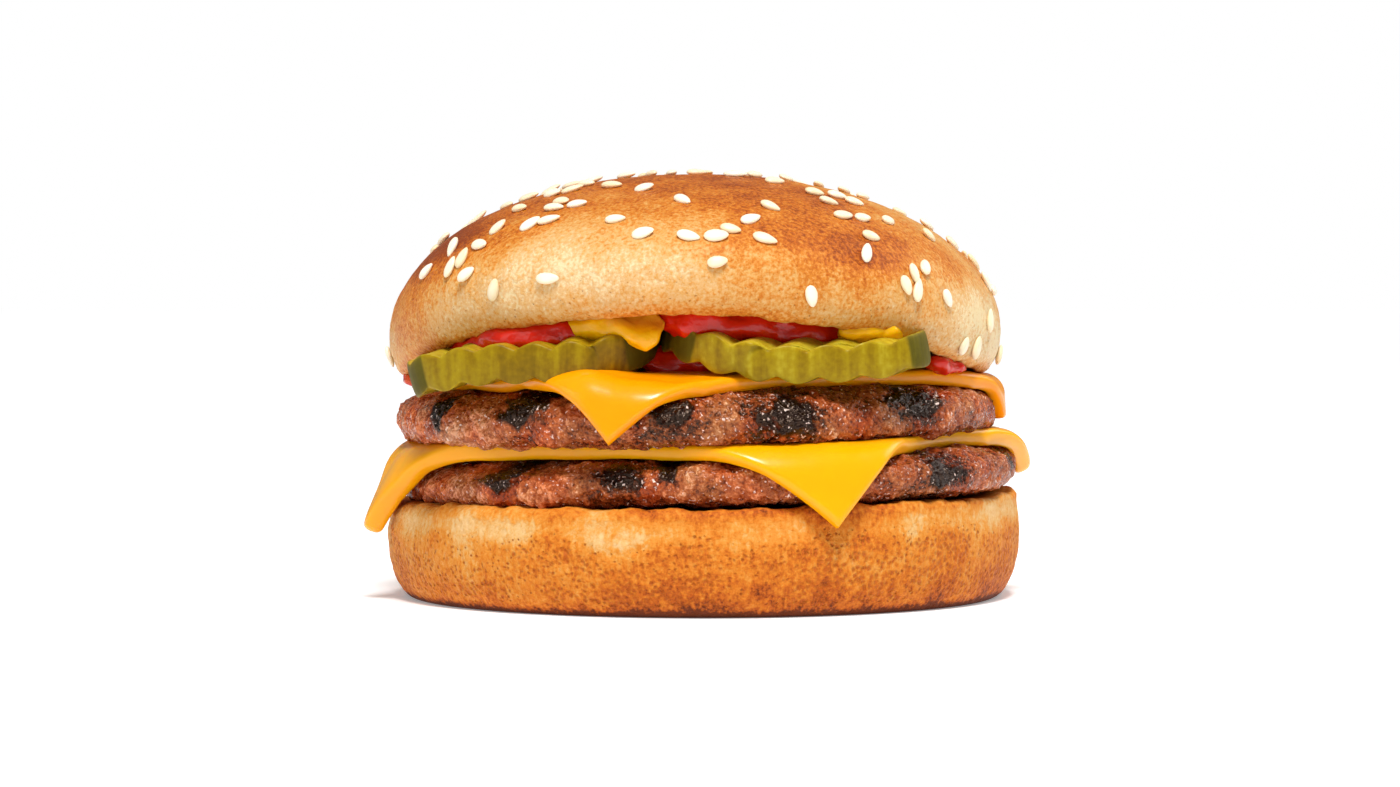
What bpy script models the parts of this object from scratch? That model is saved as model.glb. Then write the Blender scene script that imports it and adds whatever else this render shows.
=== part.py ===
"""Double cheeseburger: sesame bun, two grilled patties, two slices of cheese, pickle, ketchup and mustard.

Metres, +Z up. The burger stands on the flat face under its heel, whose centre is the origin. Its front is
at -Y. An azimuth is an angle about +Z, nought at the front and growing towards +X. Each piece is a primitive
whose points a shape function moves: it takes points of a unit sphere or square, and gives their places.
"""

import math

import bmesh
import bpy
import numpy as np

MM = 0.001

# Clearance between pieces that lie on each other.
GAP = 0.3 * MM

# Heel, the bottom half of the bun: a turned shape.
HEEL_RADIUS = 50.0 * MM
HEEL_FOOT_RADIUS = 43.5 * MM
HEEL_TOP_RADIUS = 48.2 * MM
HEEL_HEIGHT = 16.0 * MM
HEEL_BELLY_HEIGHT = 11.2 * MM
HEEL_RIM_ROUND = 1.6 * MM
HEEL_RIM_STEPS = 2
HEEL_BELLY_STEPS = 6
HEEL_TURN_STEPS = 44

# Patties. The power along the radius is the higher, the fuller the edge is above or below.
PATTY_ROUND = 2.2
PATTY_FLAT_SHARE = 0.88
PATTY_TOP_POWER = 7.0
PATTY_FOOT_POWER = 24.0
SAG_POWER = 6.0
LOWER_PATTY = {"radius": 47.4 * MM, "x": 1.1 * MM, "y": -0.4 * MM, "half": 3.7 * MM, "sag": 0.2 * MM,
               "slope": 0.0, "phase": 0.4}
UPPER_PATTY = {"radius": 46.8 * MM, "x": -0.9 * MM, "y": -0.6 * MM, "half": 3.9 * MM, "sag": 0.9 * MM,
               "slope": 0.12, "phase": 2.1}
PATTY_WOBBLE = 0.008
PATTY_FACETS = (36, 12)

# Cheese slices: squares whose edges swelled as they melted. Beyond the fold radius a corner bends down to its
# own hang angle. Corners run from the first, at the turn, towards +X.
SLICE_SWELL = 0.045
SLICE_THICKNESS = 2.1 * MM
SLICE_CELLS = 18
FOLD_RADIUS = 45.2 * MM
LOWER_SLICE = {"patty": LOWER_PATTY, "side": 86.0 * MM, "turn": 21.5, "x": 0.0, "y": 1.8 * MM,
               "sag": 0.9 * MM, "slope": 0.0, "hang": (76.0, 60.0, 64.0, 62.0),
               "bend": (5.0 * MM, 17.0 * MM, 5.0 * MM, 5.0 * MM)}
UPPER_SLICE = {"patty": UPPER_PATTY, "side": 82.0 * MM, "turn": -14.5, "x": -2.4 * MM, "y": 2.6 * MM,
               "sag": 2.0 * MM, "slope": 0.45 * MM, "hang": (58.0, 84.0, 62.0, 84.0),
               "bend": (6.0 * MM, 4.4 * MM, 5.0 * MM, 4.4 * MM)}

# Crinkle-cut pickle chips: the ridges run from front to back, and the front edge bends down over the patty.
PICKLE_THICKNESS = 4.2 * MM
CRINKLE_PITCH = 5.6 * MM
CRINKLE_DEPTH = 0.55 * MM
PICKLE_CELLS = (34, 6)
PICKLE_FOLD_RADIUS = 44.8 * MM
PICKLE_BEND = 11.0 * MM
PICKLE_HANG = 60.0
PICKLE_CORNER = 0.44
LEFT_PICKLE = {"x": -24.3 * MM, "y": -25.6 * MM, "half_width": 17.4 * MM, "half_depth": 18.0 * MM,
               "turn": -6.0, "lift": 0.2 * MM}
RIGHT_PICKLE = {"x": 13.0 * MM, "y": -27.0 * MM, "half_width": 17.4 * MM, "half_depth": 18.2 * MM,
                "turn": 3.0, "lift": 0.1 * MM}

# Crown, the top half of the bun. It arches over the filling: its rim is high in front and low at the sides,
# and its ceiling is high over the pickles and falls to the cheese behind them and to the right of them.
CROWN_RADIUS = 48.5 * MM
CROWN_CENTRE_X = -1.3 * MM
CROWN_TOP = 66.6 * MM
CROWN_LOW_RIM = 36.1 * MM
CROWN_FRONT_LIFT = 9.3 * MM
CROWN_BACK_LIFT = -0.5 * MM
CROWN_LIFT_POWER = 3.0
CROWN_SKEW = 1.3 * MM
CROWN_WAIST = 6.5 * MM
CROWN_RIM_ROUND = 3.4 * MM
CROWN_RIM_SHARE = 0.09
CROWN_CEILING = 44.9 * MM
CROWN_CEILING_FALL = 7.6 * MM
BACK_FALL = (-9.0 * MM, 5.0 * MM)
RIGHT_FALL = (31.0 * MM, 40.0 * MM)
CROWN_FACETS = (40, 16)

# Sauces: thick drops squeezed between what lies under them and over them. Each has its centre's azimuth and
# distance, its half width and half depth, its middle height and half height, and the phase of its outline.
SAUCE_ROUND = 3.0
SAUCE_WOBBLE = 0.07
SAUCE_FACETS = (14, 8)
SAUCES = {
    "ketchup_left": {"azimuth": -42.0, "reach": 39.6 * MM, "half": (8.2 * MM, 3.2 * MM), "height": 42.75 * MM,
                     "thick": 0.95 * MM, "phase": 0.3, "look": "ketchup"},
    "ketchup_right": {"azimuth": 11.5, "reach": 38.6 * MM, "half": (12.6 * MM, 3.8 * MM), "height": 43.1 * MM,
                      "thick": 1.1 * MM, "phase": 1.4, "look": "ketchup"},
    "ketchup_middle": {"azimuth": -8.0, "reach": 40.2 * MM, "half": (4.4 * MM, 2.2 * MM), "height": 37.0 * MM,
                       "thick": 0.9 * MM, "phase": 2.2, "look": "ketchup"},
    "mustard_left": {"azimuth": -18.5, "reach": 40.2 * MM, "half": (6.4 * MM, 3.8 * MM), "height": 43.1 * MM,
                     "thick": 1.1 * MM, "phase": 0.9, "look": "mustard"},
    "mustard_right": {"azimuth": 39.0, "reach": 36.5 * MM, "half": (5.0 * MM, 3.2 * MM), "height": 43.0 * MM,
                      "thick": 1.0 * MM, "phase": 2.8, "look": "mustard"},
    "ketchup_drop_right": {"azimuth": 62.5, "reach": 41.6 * MM, "half": (4.2 * MM, 2.4 * MM),
                           "height": 36.4 * MM, "thick": 0.85 * MM, "phase": 0.0, "look": "ketchup"},
    "ketchup_drop_left": {"azimuth": -74.0, "reach": 43.8 * MM, "half": (3.2 * MM, 1.4 * MM),
                          "height": 35.9 * MM, "thick": 0.8 * MM, "phase": 1.0, "look": "ketchup"},
}

# Colour and roughness of each food.
LOOKS = {
    "bread": ((0.80, 0.45, 0.16, 1.0), 0.55),
    "meat": ((0.20, 0.08, 0.04, 1.0), 0.35),
    "cheese": ((1.0, 0.60, 0.02, 1.0), 0.30),
    "pickle": ((0.35, 0.33, 0.03, 1.0), 0.25),
    "ketchup": ((0.55, 0.03, 0.01, 1.0), 0.15),
    "mustard": ((0.90, 0.50, 0.02, 1.0), 0.20),
}


def ramp(value, low, high):
    """0 below low, 1 above high and smooth between them."""
    share = np.clip((value - low) / (high - low), 0.0, 1.0)
    return share * share * (3.0 - 2.0 * share)


def heading(azimuth):
    """The X and Y parts of a unit step outwards at an azimuth in degrees."""
    angle = math.radians(azimuth)
    return math.sin(angle), -math.cos(angle)


def dress(obj, look, collection):
    """Give an object its food's plain material and put it with the other pieces."""
    colour, roughness = LOOKS[look]
    material = bpy.data.materials.new(f"{obj.name}_{look}")
    material.use_nodes = True
    shader = material.node_tree.nodes["Principled BSDF"]
    shader.inputs["Base Color"].default_value = colour
    shader.inputs["Roughness"].default_value = roughness
    shader.inputs["Metallic"].default_value = 0.0
    material.diffuse_color = colour
    obj.data.materials.append(material)
    obj.data.shade_smooth()
    collection.objects.link(obj)
    return obj


def moved(mesh, shape):
    """Move every point of a mesh by a shape function, which takes and gives arrays of X, Y and Z."""
    points = np.empty(len(mesh.vertices) * 3)
    mesh.vertices.foreach_get("co", points)
    places = np.column_stack(shape(*points.reshape(-1, 3).T))
    mesh.vertices.foreach_set("co", places.astype(np.float32).ravel())
    mesh.update()
    return mesh


def ball(name, facets, shape):
    """A closed solid: a unit sphere, of so many facets round and up, whose points a shape function moves."""
    mesh = bpy.data.meshes.new(name)
    cage = bmesh.new()
    bmesh.ops.create_uvsphere(cage, u_segments=facets[0], v_segments=facets[1], radius=1.0)
    cage.to_mesh(mesh)
    cage.free()
    return bpy.data.objects.new(name, moved(mesh, shape))


def slab(name, cells, thickness, shape):
    """A bent slab: a square of side 2, shaped as its middle surface and made solid."""
    mesh = bpy.data.meshes.new(name)
    cage = bmesh.new()
    bmesh.ops.create_grid(cage, x_segments=cells[0], y_segments=cells[1], size=1.0)
    cage.to_mesh(mesh)
    cage.free()
    obj = bpy.data.objects.new(name, moved(mesh, shape))
    solid = obj.modifiers.new("thickness", "SOLIDIFY")
    solid.thickness = thickness
    solid.offset = 0.0
    return obj


def heel():
    """The turned heel: flat foot, belly, rounded rim and flat cut face."""
    profile = [(0.0, HEEL_HEIGHT)]
    for step in range(HEEL_RIM_STEPS + 1):
        angle = math.radians(90.0 * (1.0 - step / HEEL_RIM_STEPS))
        profile.append((HEEL_TOP_RADIUS - HEEL_RIM_ROUND * (1.0 - math.cos(angle)),
                        HEEL_HEIGHT - HEEL_RIM_ROUND * (1.0 - math.sin(angle))))
    for step in range(HEEL_BELLY_STEPS + 1):
        angle = math.radians(90.0 * step / HEEL_BELLY_STEPS)
        profile.append((HEEL_FOOT_RADIUS + (HEEL_RADIUS - HEEL_FOOT_RADIUS) * math.cos(angle),
                        HEEL_BELLY_HEIGHT * (1.0 - math.sin(angle))))
    profile.append((0.0, 0.0))
    mesh = bpy.data.meshes.new("heel")
    mesh.from_pydata([(radius, 0.0, height) for radius, height in profile],
                     [(point, point + 1) for point in range(len(profile) - 1)], [])
    obj = bpy.data.objects.new("heel", mesh)
    screw = obj.modifiers.new("turn", "SCREW")
    screw.steps = HEEL_TURN_STEPS
    screw.render_steps = HEEL_TURN_STEPS
    screw.use_merge_vertices = True
    screw.merge_threshold = 0.01 * MM
    return obj


def edge(z, across, power):
    """Shares of the radius and half height of a flat disc with rounded edges, on a unit sphere's points."""
    slant = 4.0 * np.arctan2(np.abs(z), across) / math.pi
    flat_level = (1.0 - PATTY_FLAT_SHARE ** power) ** (1.0 / PATTY_ROUND)
    rim_level = flat_level * np.sin(np.minimum(slant, 1.0) * math.pi / 2.0)
    rim_share = (1.0 - rim_level ** PATTY_ROUND) ** (1.0 / power)
    flat_share = np.minimum(PATTY_FLAT_SHARE * (2.0 - slant), 1.0)
    share = np.where(slant > 1.0, flat_share, rim_share)
    level = np.where(slant > 1.0, (1.0 - flat_share ** power) ** (1.0 / PATTY_ROUND), rim_level)
    return share, np.sign(z) * level


def patty_shape(patty, middle):
    """The shape function of a patty whose middle is at a height: an uneven disc that sags at its edge."""
    def shape(x, y, z):
        azimuth = np.arctan2(x, -y)
        across = np.hypot(x, y)
        power = np.where(z > 0.0, PATTY_TOP_POWER, PATTY_FOOT_POWER)
        share, level = edge(z, across, power)
        wobble = (np.sin(2.0 * azimuth + patty["phase"]) + np.sin(3.0 * azimuth - 2.0 * patty["phase"])
                  + 0.6 * np.sin(7.0 * azimuth + 3.0 * patty["phase"]))
        radius = patty["radius"] * share * (1.0 + PATTY_WOBBLE * wobble * share)
        lean = np.where(z > 0.0, 1.0 - patty["slope"] * share * np.abs(np.sin(azimuth)), 1.0)
        return (patty["x"] + radius * np.sin(azimuth), patty["y"] - radius * np.cos(azimuth),
                middle - patty["sag"] * share ** SAG_POWER + patty["half"] * lean * level)
    return shape


def bent(overhang, bend, hang):
    """How far out and how far down a strip reaches that bends from level to its hang angle."""
    most = math.radians(hang)
    curve = np.minimum(overhang / bend, most)
    rest = np.maximum(overhang - bend * most, 0.0)
    return bend * np.sin(curve) + rest * math.cos(most), bend * (1.0 - np.cos(curve)) + rest * math.sin(most)


def lie(slice_, middle, x, y):
    """Height of a cheese slice's middle surface where it lies on its patty."""
    x, y = x - slice_["patty"]["x"], y - slice_["patty"]["y"]
    far = np.minimum(np.hypot(x, y) / FOLD_RADIUS, 1.0)
    sideways = np.minimum(np.abs(x) / FOLD_RADIUS, 1.0)
    return middle - slice_["sag"] * far ** SAG_POWER - slice_["slope"] * sideways


def slice_shape(slice_, middle):
    """The shape function of a cheese slice lying on a patty, with its four corners bent down."""
    def shape(u, v, _):
        half = slice_["side"] / 2.0
        x = u * half * (1.0 + SLICE_SWELL * (1.0 - v * v))
        y = v * half * (1.0 + SLICE_SWELL * (1.0 - u * u))
        turn = math.radians(slice_["turn"] - 45.0)
        x, y = x * math.cos(turn) - y * math.sin(turn), x * math.sin(turn) + y * math.cos(turn)
        x, y = x + slice_["x"], y + slice_["y"]
        z = lie(slice_, middle, x, y)
        for corner in range(4):
            out_x, out_y = heading(slice_["turn"] + 90.0 * corner)
            from_x, from_y = x - slice_["patty"]["x"], y - slice_["patty"]["y"]
            out = from_x * out_x + from_y * out_y
            aside = from_y * out_x - from_x * out_y
            fold = np.sqrt(np.maximum(FOLD_RADIUS ** 2 - aside ** 2, 0.0))
            over = (out > fold) & (out > np.abs(aside))
            overhang = np.where(over, out - fold, 0.0)
            reach, drop = bent(overhang, slice_["bend"][corner], slice_["hang"][corner])
            x = x + (reach - overhang) * out_x
            y = y + (reach - overhang) * out_y
            z = z - drop
        return x, y, z
    return shape


def pickle_shape(pickle, slice_middle):
    """The shape function of a pickle chip's middle: an oval, crinkled and bent over the patty's edge."""
    def shape(u, v, _):
        wide = u * np.sqrt(1.0 - PICKLE_CORNER * v * v) * pickle["half_width"]
        deep = v * np.sqrt(1.0 - PICKLE_CORNER * u * u) * pickle["half_depth"]
        crinkle = CRINKLE_DEPTH * np.cos(2.0 * math.pi * wide / CRINKLE_PITCH)
        turn = math.radians(pickle["turn"])
        x = pickle["x"] + wide * math.cos(turn) - deep * math.sin(turn)
        y = pickle["y"] + wide * math.sin(turn) + deep * math.cos(turn)
        seat = (lie(UPPER_SLICE, slice_middle, x, y) + SLICE_THICKNESS / 2.0 + GAP
                + PICKLE_THICKNESS / 2.0 + CRINKLE_DEPTH + pickle["lift"])
        from_x, from_y = x - UPPER_PATTY["x"], y - UPPER_PATTY["y"]
        distance = np.hypot(from_x, from_y)
        overhang = np.maximum(distance - PICKLE_FOLD_RADIUS, 0.0)
        reach, drop = bent(overhang, PICKLE_BEND, PICKLE_HANG)
        pull = (reach - overhang) / np.maximum(distance, MM)
        return x + from_x * pull, y + from_y * pull, seat + crinkle - drop
    return shape


def rim_height(azimuth):
    """Height of the crown's lowest edge at an azimuth in radians."""
    front = np.cos(azimuth) > 0.0
    lift = np.where(front, CROWN_FRONT_LIFT, CROWN_BACK_LIFT)
    skew = np.where(front, CROWN_SKEW * np.sin(2.0 * azimuth), 0.0)
    return CROWN_LOW_RIM + lift * (1.0 - np.abs(np.sin(azimuth)) ** CROWN_LIFT_POWER) - skew


def crown_shape(x, y, z):
    """The shape function of the crown: a dome above its waist, and below it a rounded rim and a ceiling."""
    azimuth = np.arctan2(x, -y)
    across = np.hypot(x, y)
    rim = rim_height(azimuth)
    waist = rim + CROWN_WAIST
    inner = CROWN_RADIUS - CROWN_RIM_ROUND
    turned = np.clip(-z, 0.0, 0.5) * math.pi
    radius = np.where(z >= 0.0, CROWN_RADIUS * across,
                      np.where(z > -0.5, inner + CROWN_RIM_ROUND * np.cos(turned),
                               inner * across / math.sqrt(0.75)))
    place_x = CROWN_CENTRE_X + radius * np.sin(azimuth)
    place_y = -radius * np.cos(azimuth)
    held = (1.0 - ramp(place_y, *BACK_FALL)) * (1.0 - ramp(place_x, *RIGHT_FALL))
    ceiling = CROWN_CEILING - CROWN_CEILING_FALL * (1.0 - held)
    rise = ramp(1.0 - np.clip(radius / inner, 0.0, 1.0), 0.0, CROWN_RIM_SHARE)
    below = np.where(z > -0.5, waist - CROWN_WAIST * np.sin(turned), rim + (ceiling - rim) * rise)
    above = waist + (CROWN_TOP - waist) * z
    return place_x, place_y, np.where(z >= 0.0, above, below)


def sauce_shape(sauce):
    """The shape function of a thick drop of sauce with an uneven outline."""
    def shape(x, y, z):
        across = np.hypot(x, y)
        around = np.arctan2(y, x)
        wobble = 1.0 + SAUCE_WOBBLE * (np.sin(3.0 * around + sauce["phase"]) + np.sin(5.0 * around))
        fuller = wobble * np.maximum(across, MM) ** (2.0 / SAUCE_ROUND - 1.0)
        wide, deep = x * fuller * sauce["half"][0], -y * fuller * sauce["half"][1]
        out_x, out_y = heading(sauce["azimuth"])
        far = sauce["reach"] + deep
        return (far * out_x - wide * out_y, far * out_y + wide * out_x,
                sauce["height"] + sauce["thick"] * z)
    return shape


def build():
    """Make every piece of the burger from the heel up."""
    for old in list(bpy.data.objects):
        bpy.data.objects.remove(old)
    burger = bpy.data.collections.new("double_cheeseburger")
    bpy.context.scene.collection.children.link(burger)

    lower_middle = HEEL_HEIGHT + GAP + LOWER_PATTY["half"]
    lower_slice_middle = lower_middle + LOWER_PATTY["half"] + GAP + SLICE_THICKNESS / 2.0
    upper_middle = lower_slice_middle + SLICE_THICKNESS / 2.0 + GAP + UPPER_PATTY["half"]
    upper_slice_middle = upper_middle + UPPER_PATTY["half"] + GAP + SLICE_THICKNESS / 2.0

    cells = (SLICE_CELLS, SLICE_CELLS)
    dress(heel(), "bread", burger)
    dress(ball("patty_lower", PATTY_FACETS, patty_shape(LOWER_PATTY, lower_middle)), "meat", burger)
    dress(slab("cheese_lower", cells, SLICE_THICKNESS, slice_shape(LOWER_SLICE, lower_slice_middle)),
          "cheese", burger)
    dress(ball("patty_upper", PATTY_FACETS, patty_shape(UPPER_PATTY, upper_middle)), "meat", burger)
    dress(slab("cheese_upper", cells, SLICE_THICKNESS, slice_shape(UPPER_SLICE, upper_slice_middle)),
          "cheese", burger)
    for name, pickle in (("pickle_left", LEFT_PICKLE), ("pickle_right", RIGHT_PICKLE)):
        chip = slab(name, PICKLE_CELLS, PICKLE_THICKNESS, pickle_shape(pickle, upper_slice_middle))
        dress(chip, "pickle", burger)
    for name, sauce in SAUCES.items():
        dress(ball(name, SAUCE_FACETS, sauce_shape(sauce)), sauce["look"], burger)
    dress(ball("crown", CROWN_FACETS, crown_shape), "bread", burger)


build()
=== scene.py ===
"""Looks of a double cheeseburger: bun, patties, melted cheese, crinkle-cut pickle, sauces and sesame seeds.

Every visible piece is a closed skin of rings of points round a middle, from a top pole to a bottom one. A
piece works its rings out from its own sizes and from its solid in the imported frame, then relief moves the
points in and out. Metres, +Z up; the burger's front is at -Y. An azimuth is nought at the front and grows
towards +X.
"""

import logging
import math
from dataclasses import dataclass
from enum import Enum

import bpy
import numpy as np
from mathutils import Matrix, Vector, noise


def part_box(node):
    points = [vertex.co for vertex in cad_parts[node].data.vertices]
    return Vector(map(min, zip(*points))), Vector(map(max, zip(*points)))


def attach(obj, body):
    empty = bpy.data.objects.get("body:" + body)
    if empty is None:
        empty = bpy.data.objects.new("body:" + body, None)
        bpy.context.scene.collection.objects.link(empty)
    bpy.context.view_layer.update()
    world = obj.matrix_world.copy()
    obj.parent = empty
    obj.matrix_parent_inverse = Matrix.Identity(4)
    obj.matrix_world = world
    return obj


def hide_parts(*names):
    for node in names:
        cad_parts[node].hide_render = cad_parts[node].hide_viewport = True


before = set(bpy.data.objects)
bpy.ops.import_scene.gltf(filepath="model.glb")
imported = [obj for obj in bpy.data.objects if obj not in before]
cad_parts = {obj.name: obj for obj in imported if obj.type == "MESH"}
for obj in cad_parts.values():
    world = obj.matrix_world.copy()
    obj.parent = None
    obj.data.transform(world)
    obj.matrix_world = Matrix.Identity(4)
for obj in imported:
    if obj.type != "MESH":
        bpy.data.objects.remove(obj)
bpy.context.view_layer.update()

MM = 0.001
NOISE_SHIFT = 17.3
Socket = bpy.types.NodeSocket
Hex = str

log = logging.getLogger("burger")


class Slot(Enum):
    """Material slots, one for each food; a sauce drop's slot picks its finish."""
    BUN = "bun"
    MEAT = "meat"
    CHEESE = "cheese"
    PICKLE = "pickle"
    KETCHUP = "ketchup"
    MUSTARD = "mustard"
    SEED = "seed"


# --- Shape helpers --------------------------------------------------------------------------------

def ramp(value: np.ndarray, low: float | np.ndarray, high: float | np.ndarray) -> np.ndarray:
    """0 below low, 1 above high and smooth between them."""
    share = np.clip((value - low) / (high - low), 0.0, 1.0)
    return share * share * (3.0 - 2.0 * share)


def hump(value: np.ndarray, middle: float, half_width: float) -> np.ndarray:
    """1 at the middle, falling smoothly to 0 at the half width on each side."""
    return 1.0 - ramp(np.abs(value - middle), 0.0, half_width)


def grain(points: np.ndarray, size: float, octaves: int = 1, seed: int = 0,
          stretch: tuple[float, float, float] = (1.0, 1.0, 1.0)) -> np.ndarray:
    """Smooth solid noise at each point.

    Args:
        points: places in metres, with X, Y and Z as the last axis.
        size: width of the largest lumps.
        octaves: how many finer layers are added, each half the size of the last.
        seed: picks another pattern.
        stretch: how much longer the lumps are along X, Y and Z.

    Returns:
        Numbers from about -1 to 1, one for each point.
    """
    places = points.reshape(-1, 3) / (size * np.array(stretch)) + NOISE_SHIFT * seed
    values = [noise.fractal(place, 1.0, 2.0, octaves) for place in places.tolist()]
    return np.array(values).reshape(points.shape[:-1])


def clumps(points: np.ndarray, size: float, seed: int = 0,
           stretch: tuple[float, float, float] = (1.0, 1.0, 1.0)) -> tuple[np.ndarray, np.ndarray]:
    """Distances, in cell sizes, from each point to the nearest of scattered centres and to the next one.

    Args:
        points: places in metres, with X, Y and Z as the last axis.
        size: width of a clump.
        seed: picks another pattern.
        stretch: how much longer the clumps are along X, Y and Z.

    Returns:
        The distance to the nearest centre, and to the second nearest.
    """
    places = points.reshape(-1, 3) / (size * np.array(stretch)) + NOISE_SHIFT * seed
    near = np.array([noise.voronoi(place)[0][:2] for place in places.tolist()])
    return near[:, 0].reshape(points.shape[:-1]), near[:, 1].reshape(points.shape[:-1])


def outward(rings: np.ndarray) -> np.ndarray:
    """Unit normals of a skin of rings, pointing out of the piece."""
    along = np.roll(rings, -1, axis=1) - np.roll(rings, 1, axis=1)
    normals = np.cross(np.gradient(rings, axis=0), along)
    return normals / np.maximum(np.linalg.norm(normals, axis=-1, keepdims=True), 1e-12)


def heading(azimuth: np.ndarray | float) -> tuple[np.ndarray, np.ndarray]:
    """The X and Y parts of a unit step outwards at an azimuth in radians."""
    return np.sin(azimuth), -np.cos(azimuth)


def full_turn(count: int) -> np.ndarray:
    """Angles in radians, evenly spaced round one full turn."""
    return np.linspace(0.0, 2.0 * math.pi, count, endpoint=False)


def column(start: float, end: float, count: int) -> np.ndarray:
    """A column of evenly spaced numbers that leaves out the start and reaches the end."""
    return np.linspace(start, end, count + 1)[1:, None]


def bent(overhang: np.ndarray, bend: float, hang: float) -> tuple[np.ndarray, np.ndarray]:
    """How far out and how far down a strip reaches that bends from level to its hang angle.

    Args:
        overhang: length of strip beyond the fold.
        bend: radius of the bend.
        hang: final angle below level, in degrees.

    Returns:
        The reach and the drop.
    """
    most = math.radians(hang)
    curve = np.minimum(overhang / bend, most)
    rest = np.maximum(overhang - bend * most, 0.0)
    return bend * np.sin(curve) + rest * math.cos(most), bend * (1.0 - np.cos(curve)) + rest * math.sin(most)


def closed_mesh(name: str, rings: np.ndarray, marks: dict[str, np.ndarray]) -> bpy.types.Mesh:
    """Close a stack of rings of points into one solid skin.

    Args:
        name: the mesh's name.
        rings: points of (rows, columns, 3) from top to bottom; the first and last rows become poles.
        marks: numbers for each point that the finish reads, such as how well baked it is.

    Returns:
        The mesh, smooth shaded, with its marks as attributes.
    """
    rows, columns = rings.shape[:2]
    points = np.vstack([rings[0].mean(0), rings[1:-1].reshape(-1, 3), rings[-1].mean(0)])
    here = 1 + np.arange(columns)
    after = np.roll(here, -1)
    last = len(points) - 1
    low = (rows - 3) * columns
    faces = np.column_stack([np.zeros(columns, int), here, after]).tolist()
    faces += np.column_stack([low + here, np.full(columns, last), low + after]).tolist()
    for row in range(rows - 3):
        upper, lower = row * columns, (row + 1) * columns
        faces += np.column_stack([upper + here, lower + here, lower + after, upper + after]).tolist()
    mesh = bpy.data.meshes.new(name)
    mesh.from_pydata(points.tolist(), [], faces)
    for mark, values in marks.items():
        flat = np.concatenate([[values[0].mean()], values[1:-1].ravel(), [values[-1].mean()]])
        mesh.attributes.new(mark, "FLOAT", "POINT").data.foreach_set("value", flat.astype(np.float32))
    mesh.shade_smooth()
    return mesh


def serve(name: str, mesh: bpy.types.Mesh, material: bpy.types.Material,
          node: str | None = None) -> None:
    """Put a finished piece in the scene in place of its solid.

    Args:
        name: the piece's name.
        mesh: its skin.
        material: its finish.
        node: the solid that it stands for, if any.
    """
    piece = bpy.data.objects.new(name, mesh)
    mesh.materials.append(material)
    bpy.context.scene.collection.objects.link(piece)
    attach(piece, "root")
    if node:
        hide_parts(node)
    log.info("%s: %d faces", name, len(mesh.polygons))


# --- Finishes -------------------------------------------------------------------------------------

def linear(colour: Hex) -> tuple[float, float, float, float]:
    """Linear colour, with alpha, of an sRGB hex value such as "#c8702a"."""
    parts = [int(colour[place:place + 2], 16) / 255.0 for place in (1, 3, 5)]
    return (*(part / 12.92 if part <= 0.04045 else ((part + 0.055) / 1.055) ** 2.4 for part in parts), 1.0)


def add(tree: bpy.types.NodeTree, kind: str, settings: dict | None = None, inputs: dict | None = None,
        out: str | None = None) -> Socket | None:
    """Add a node with its settings and links.

    Args:
        tree: the material's nodes.
        kind: the node's type, without its "ShaderNode" start.
        settings: the node's properties. "stops" is a colour ramp's shares and hex colours.
        inputs: a number, a hex colour or another node's output for each input's name.
        out: the output to give, or None for the first one in use.

    Returns:
        The output socket, or None if the node has no outputs.
    """
    node = tree.nodes.new("ShaderNode" + kind)
    for name, value in (settings or {}).items():
        if name != "stops":
            setattr(node, name, value)
            continue
        stops = node.color_ramp.elements
        stops.remove(stops[1])
        stops[0].position, stops[0].color = value[0][0], linear(value[0][1])
        for share, colour in value[1:]:
            stops.new(share).color = linear(colour)
    for name, value in (inputs or {}).items():
        socket = next(each for each in node.inputs if name in (each.identifier, each.name))
        if isinstance(value, Socket):
            tree.links.new(value, socket)
        else:
            socket.default_value = linear(value) if isinstance(value, str) else value
    return next((each for each in node.outputs if each.enabled and out in (None, each.name)), None)


def finish(name: str, inputs: dict, tree: bpy.types.NodeTree) -> None:
    """End a material's nodes with its Principled shader, which takes these inputs."""
    surface = add(tree, "BsdfPrincipled", {"label": name}, inputs)
    add(tree, "OutputMaterial", {}, {"Surface": surface})


def blank(name: str) -> bpy.types.Material:
    """A material with an empty node tree."""
    material = bpy.data.materials.new(name)
    material.use_nodes = True
    material.node_tree.nodes.clear()
    return material


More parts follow.
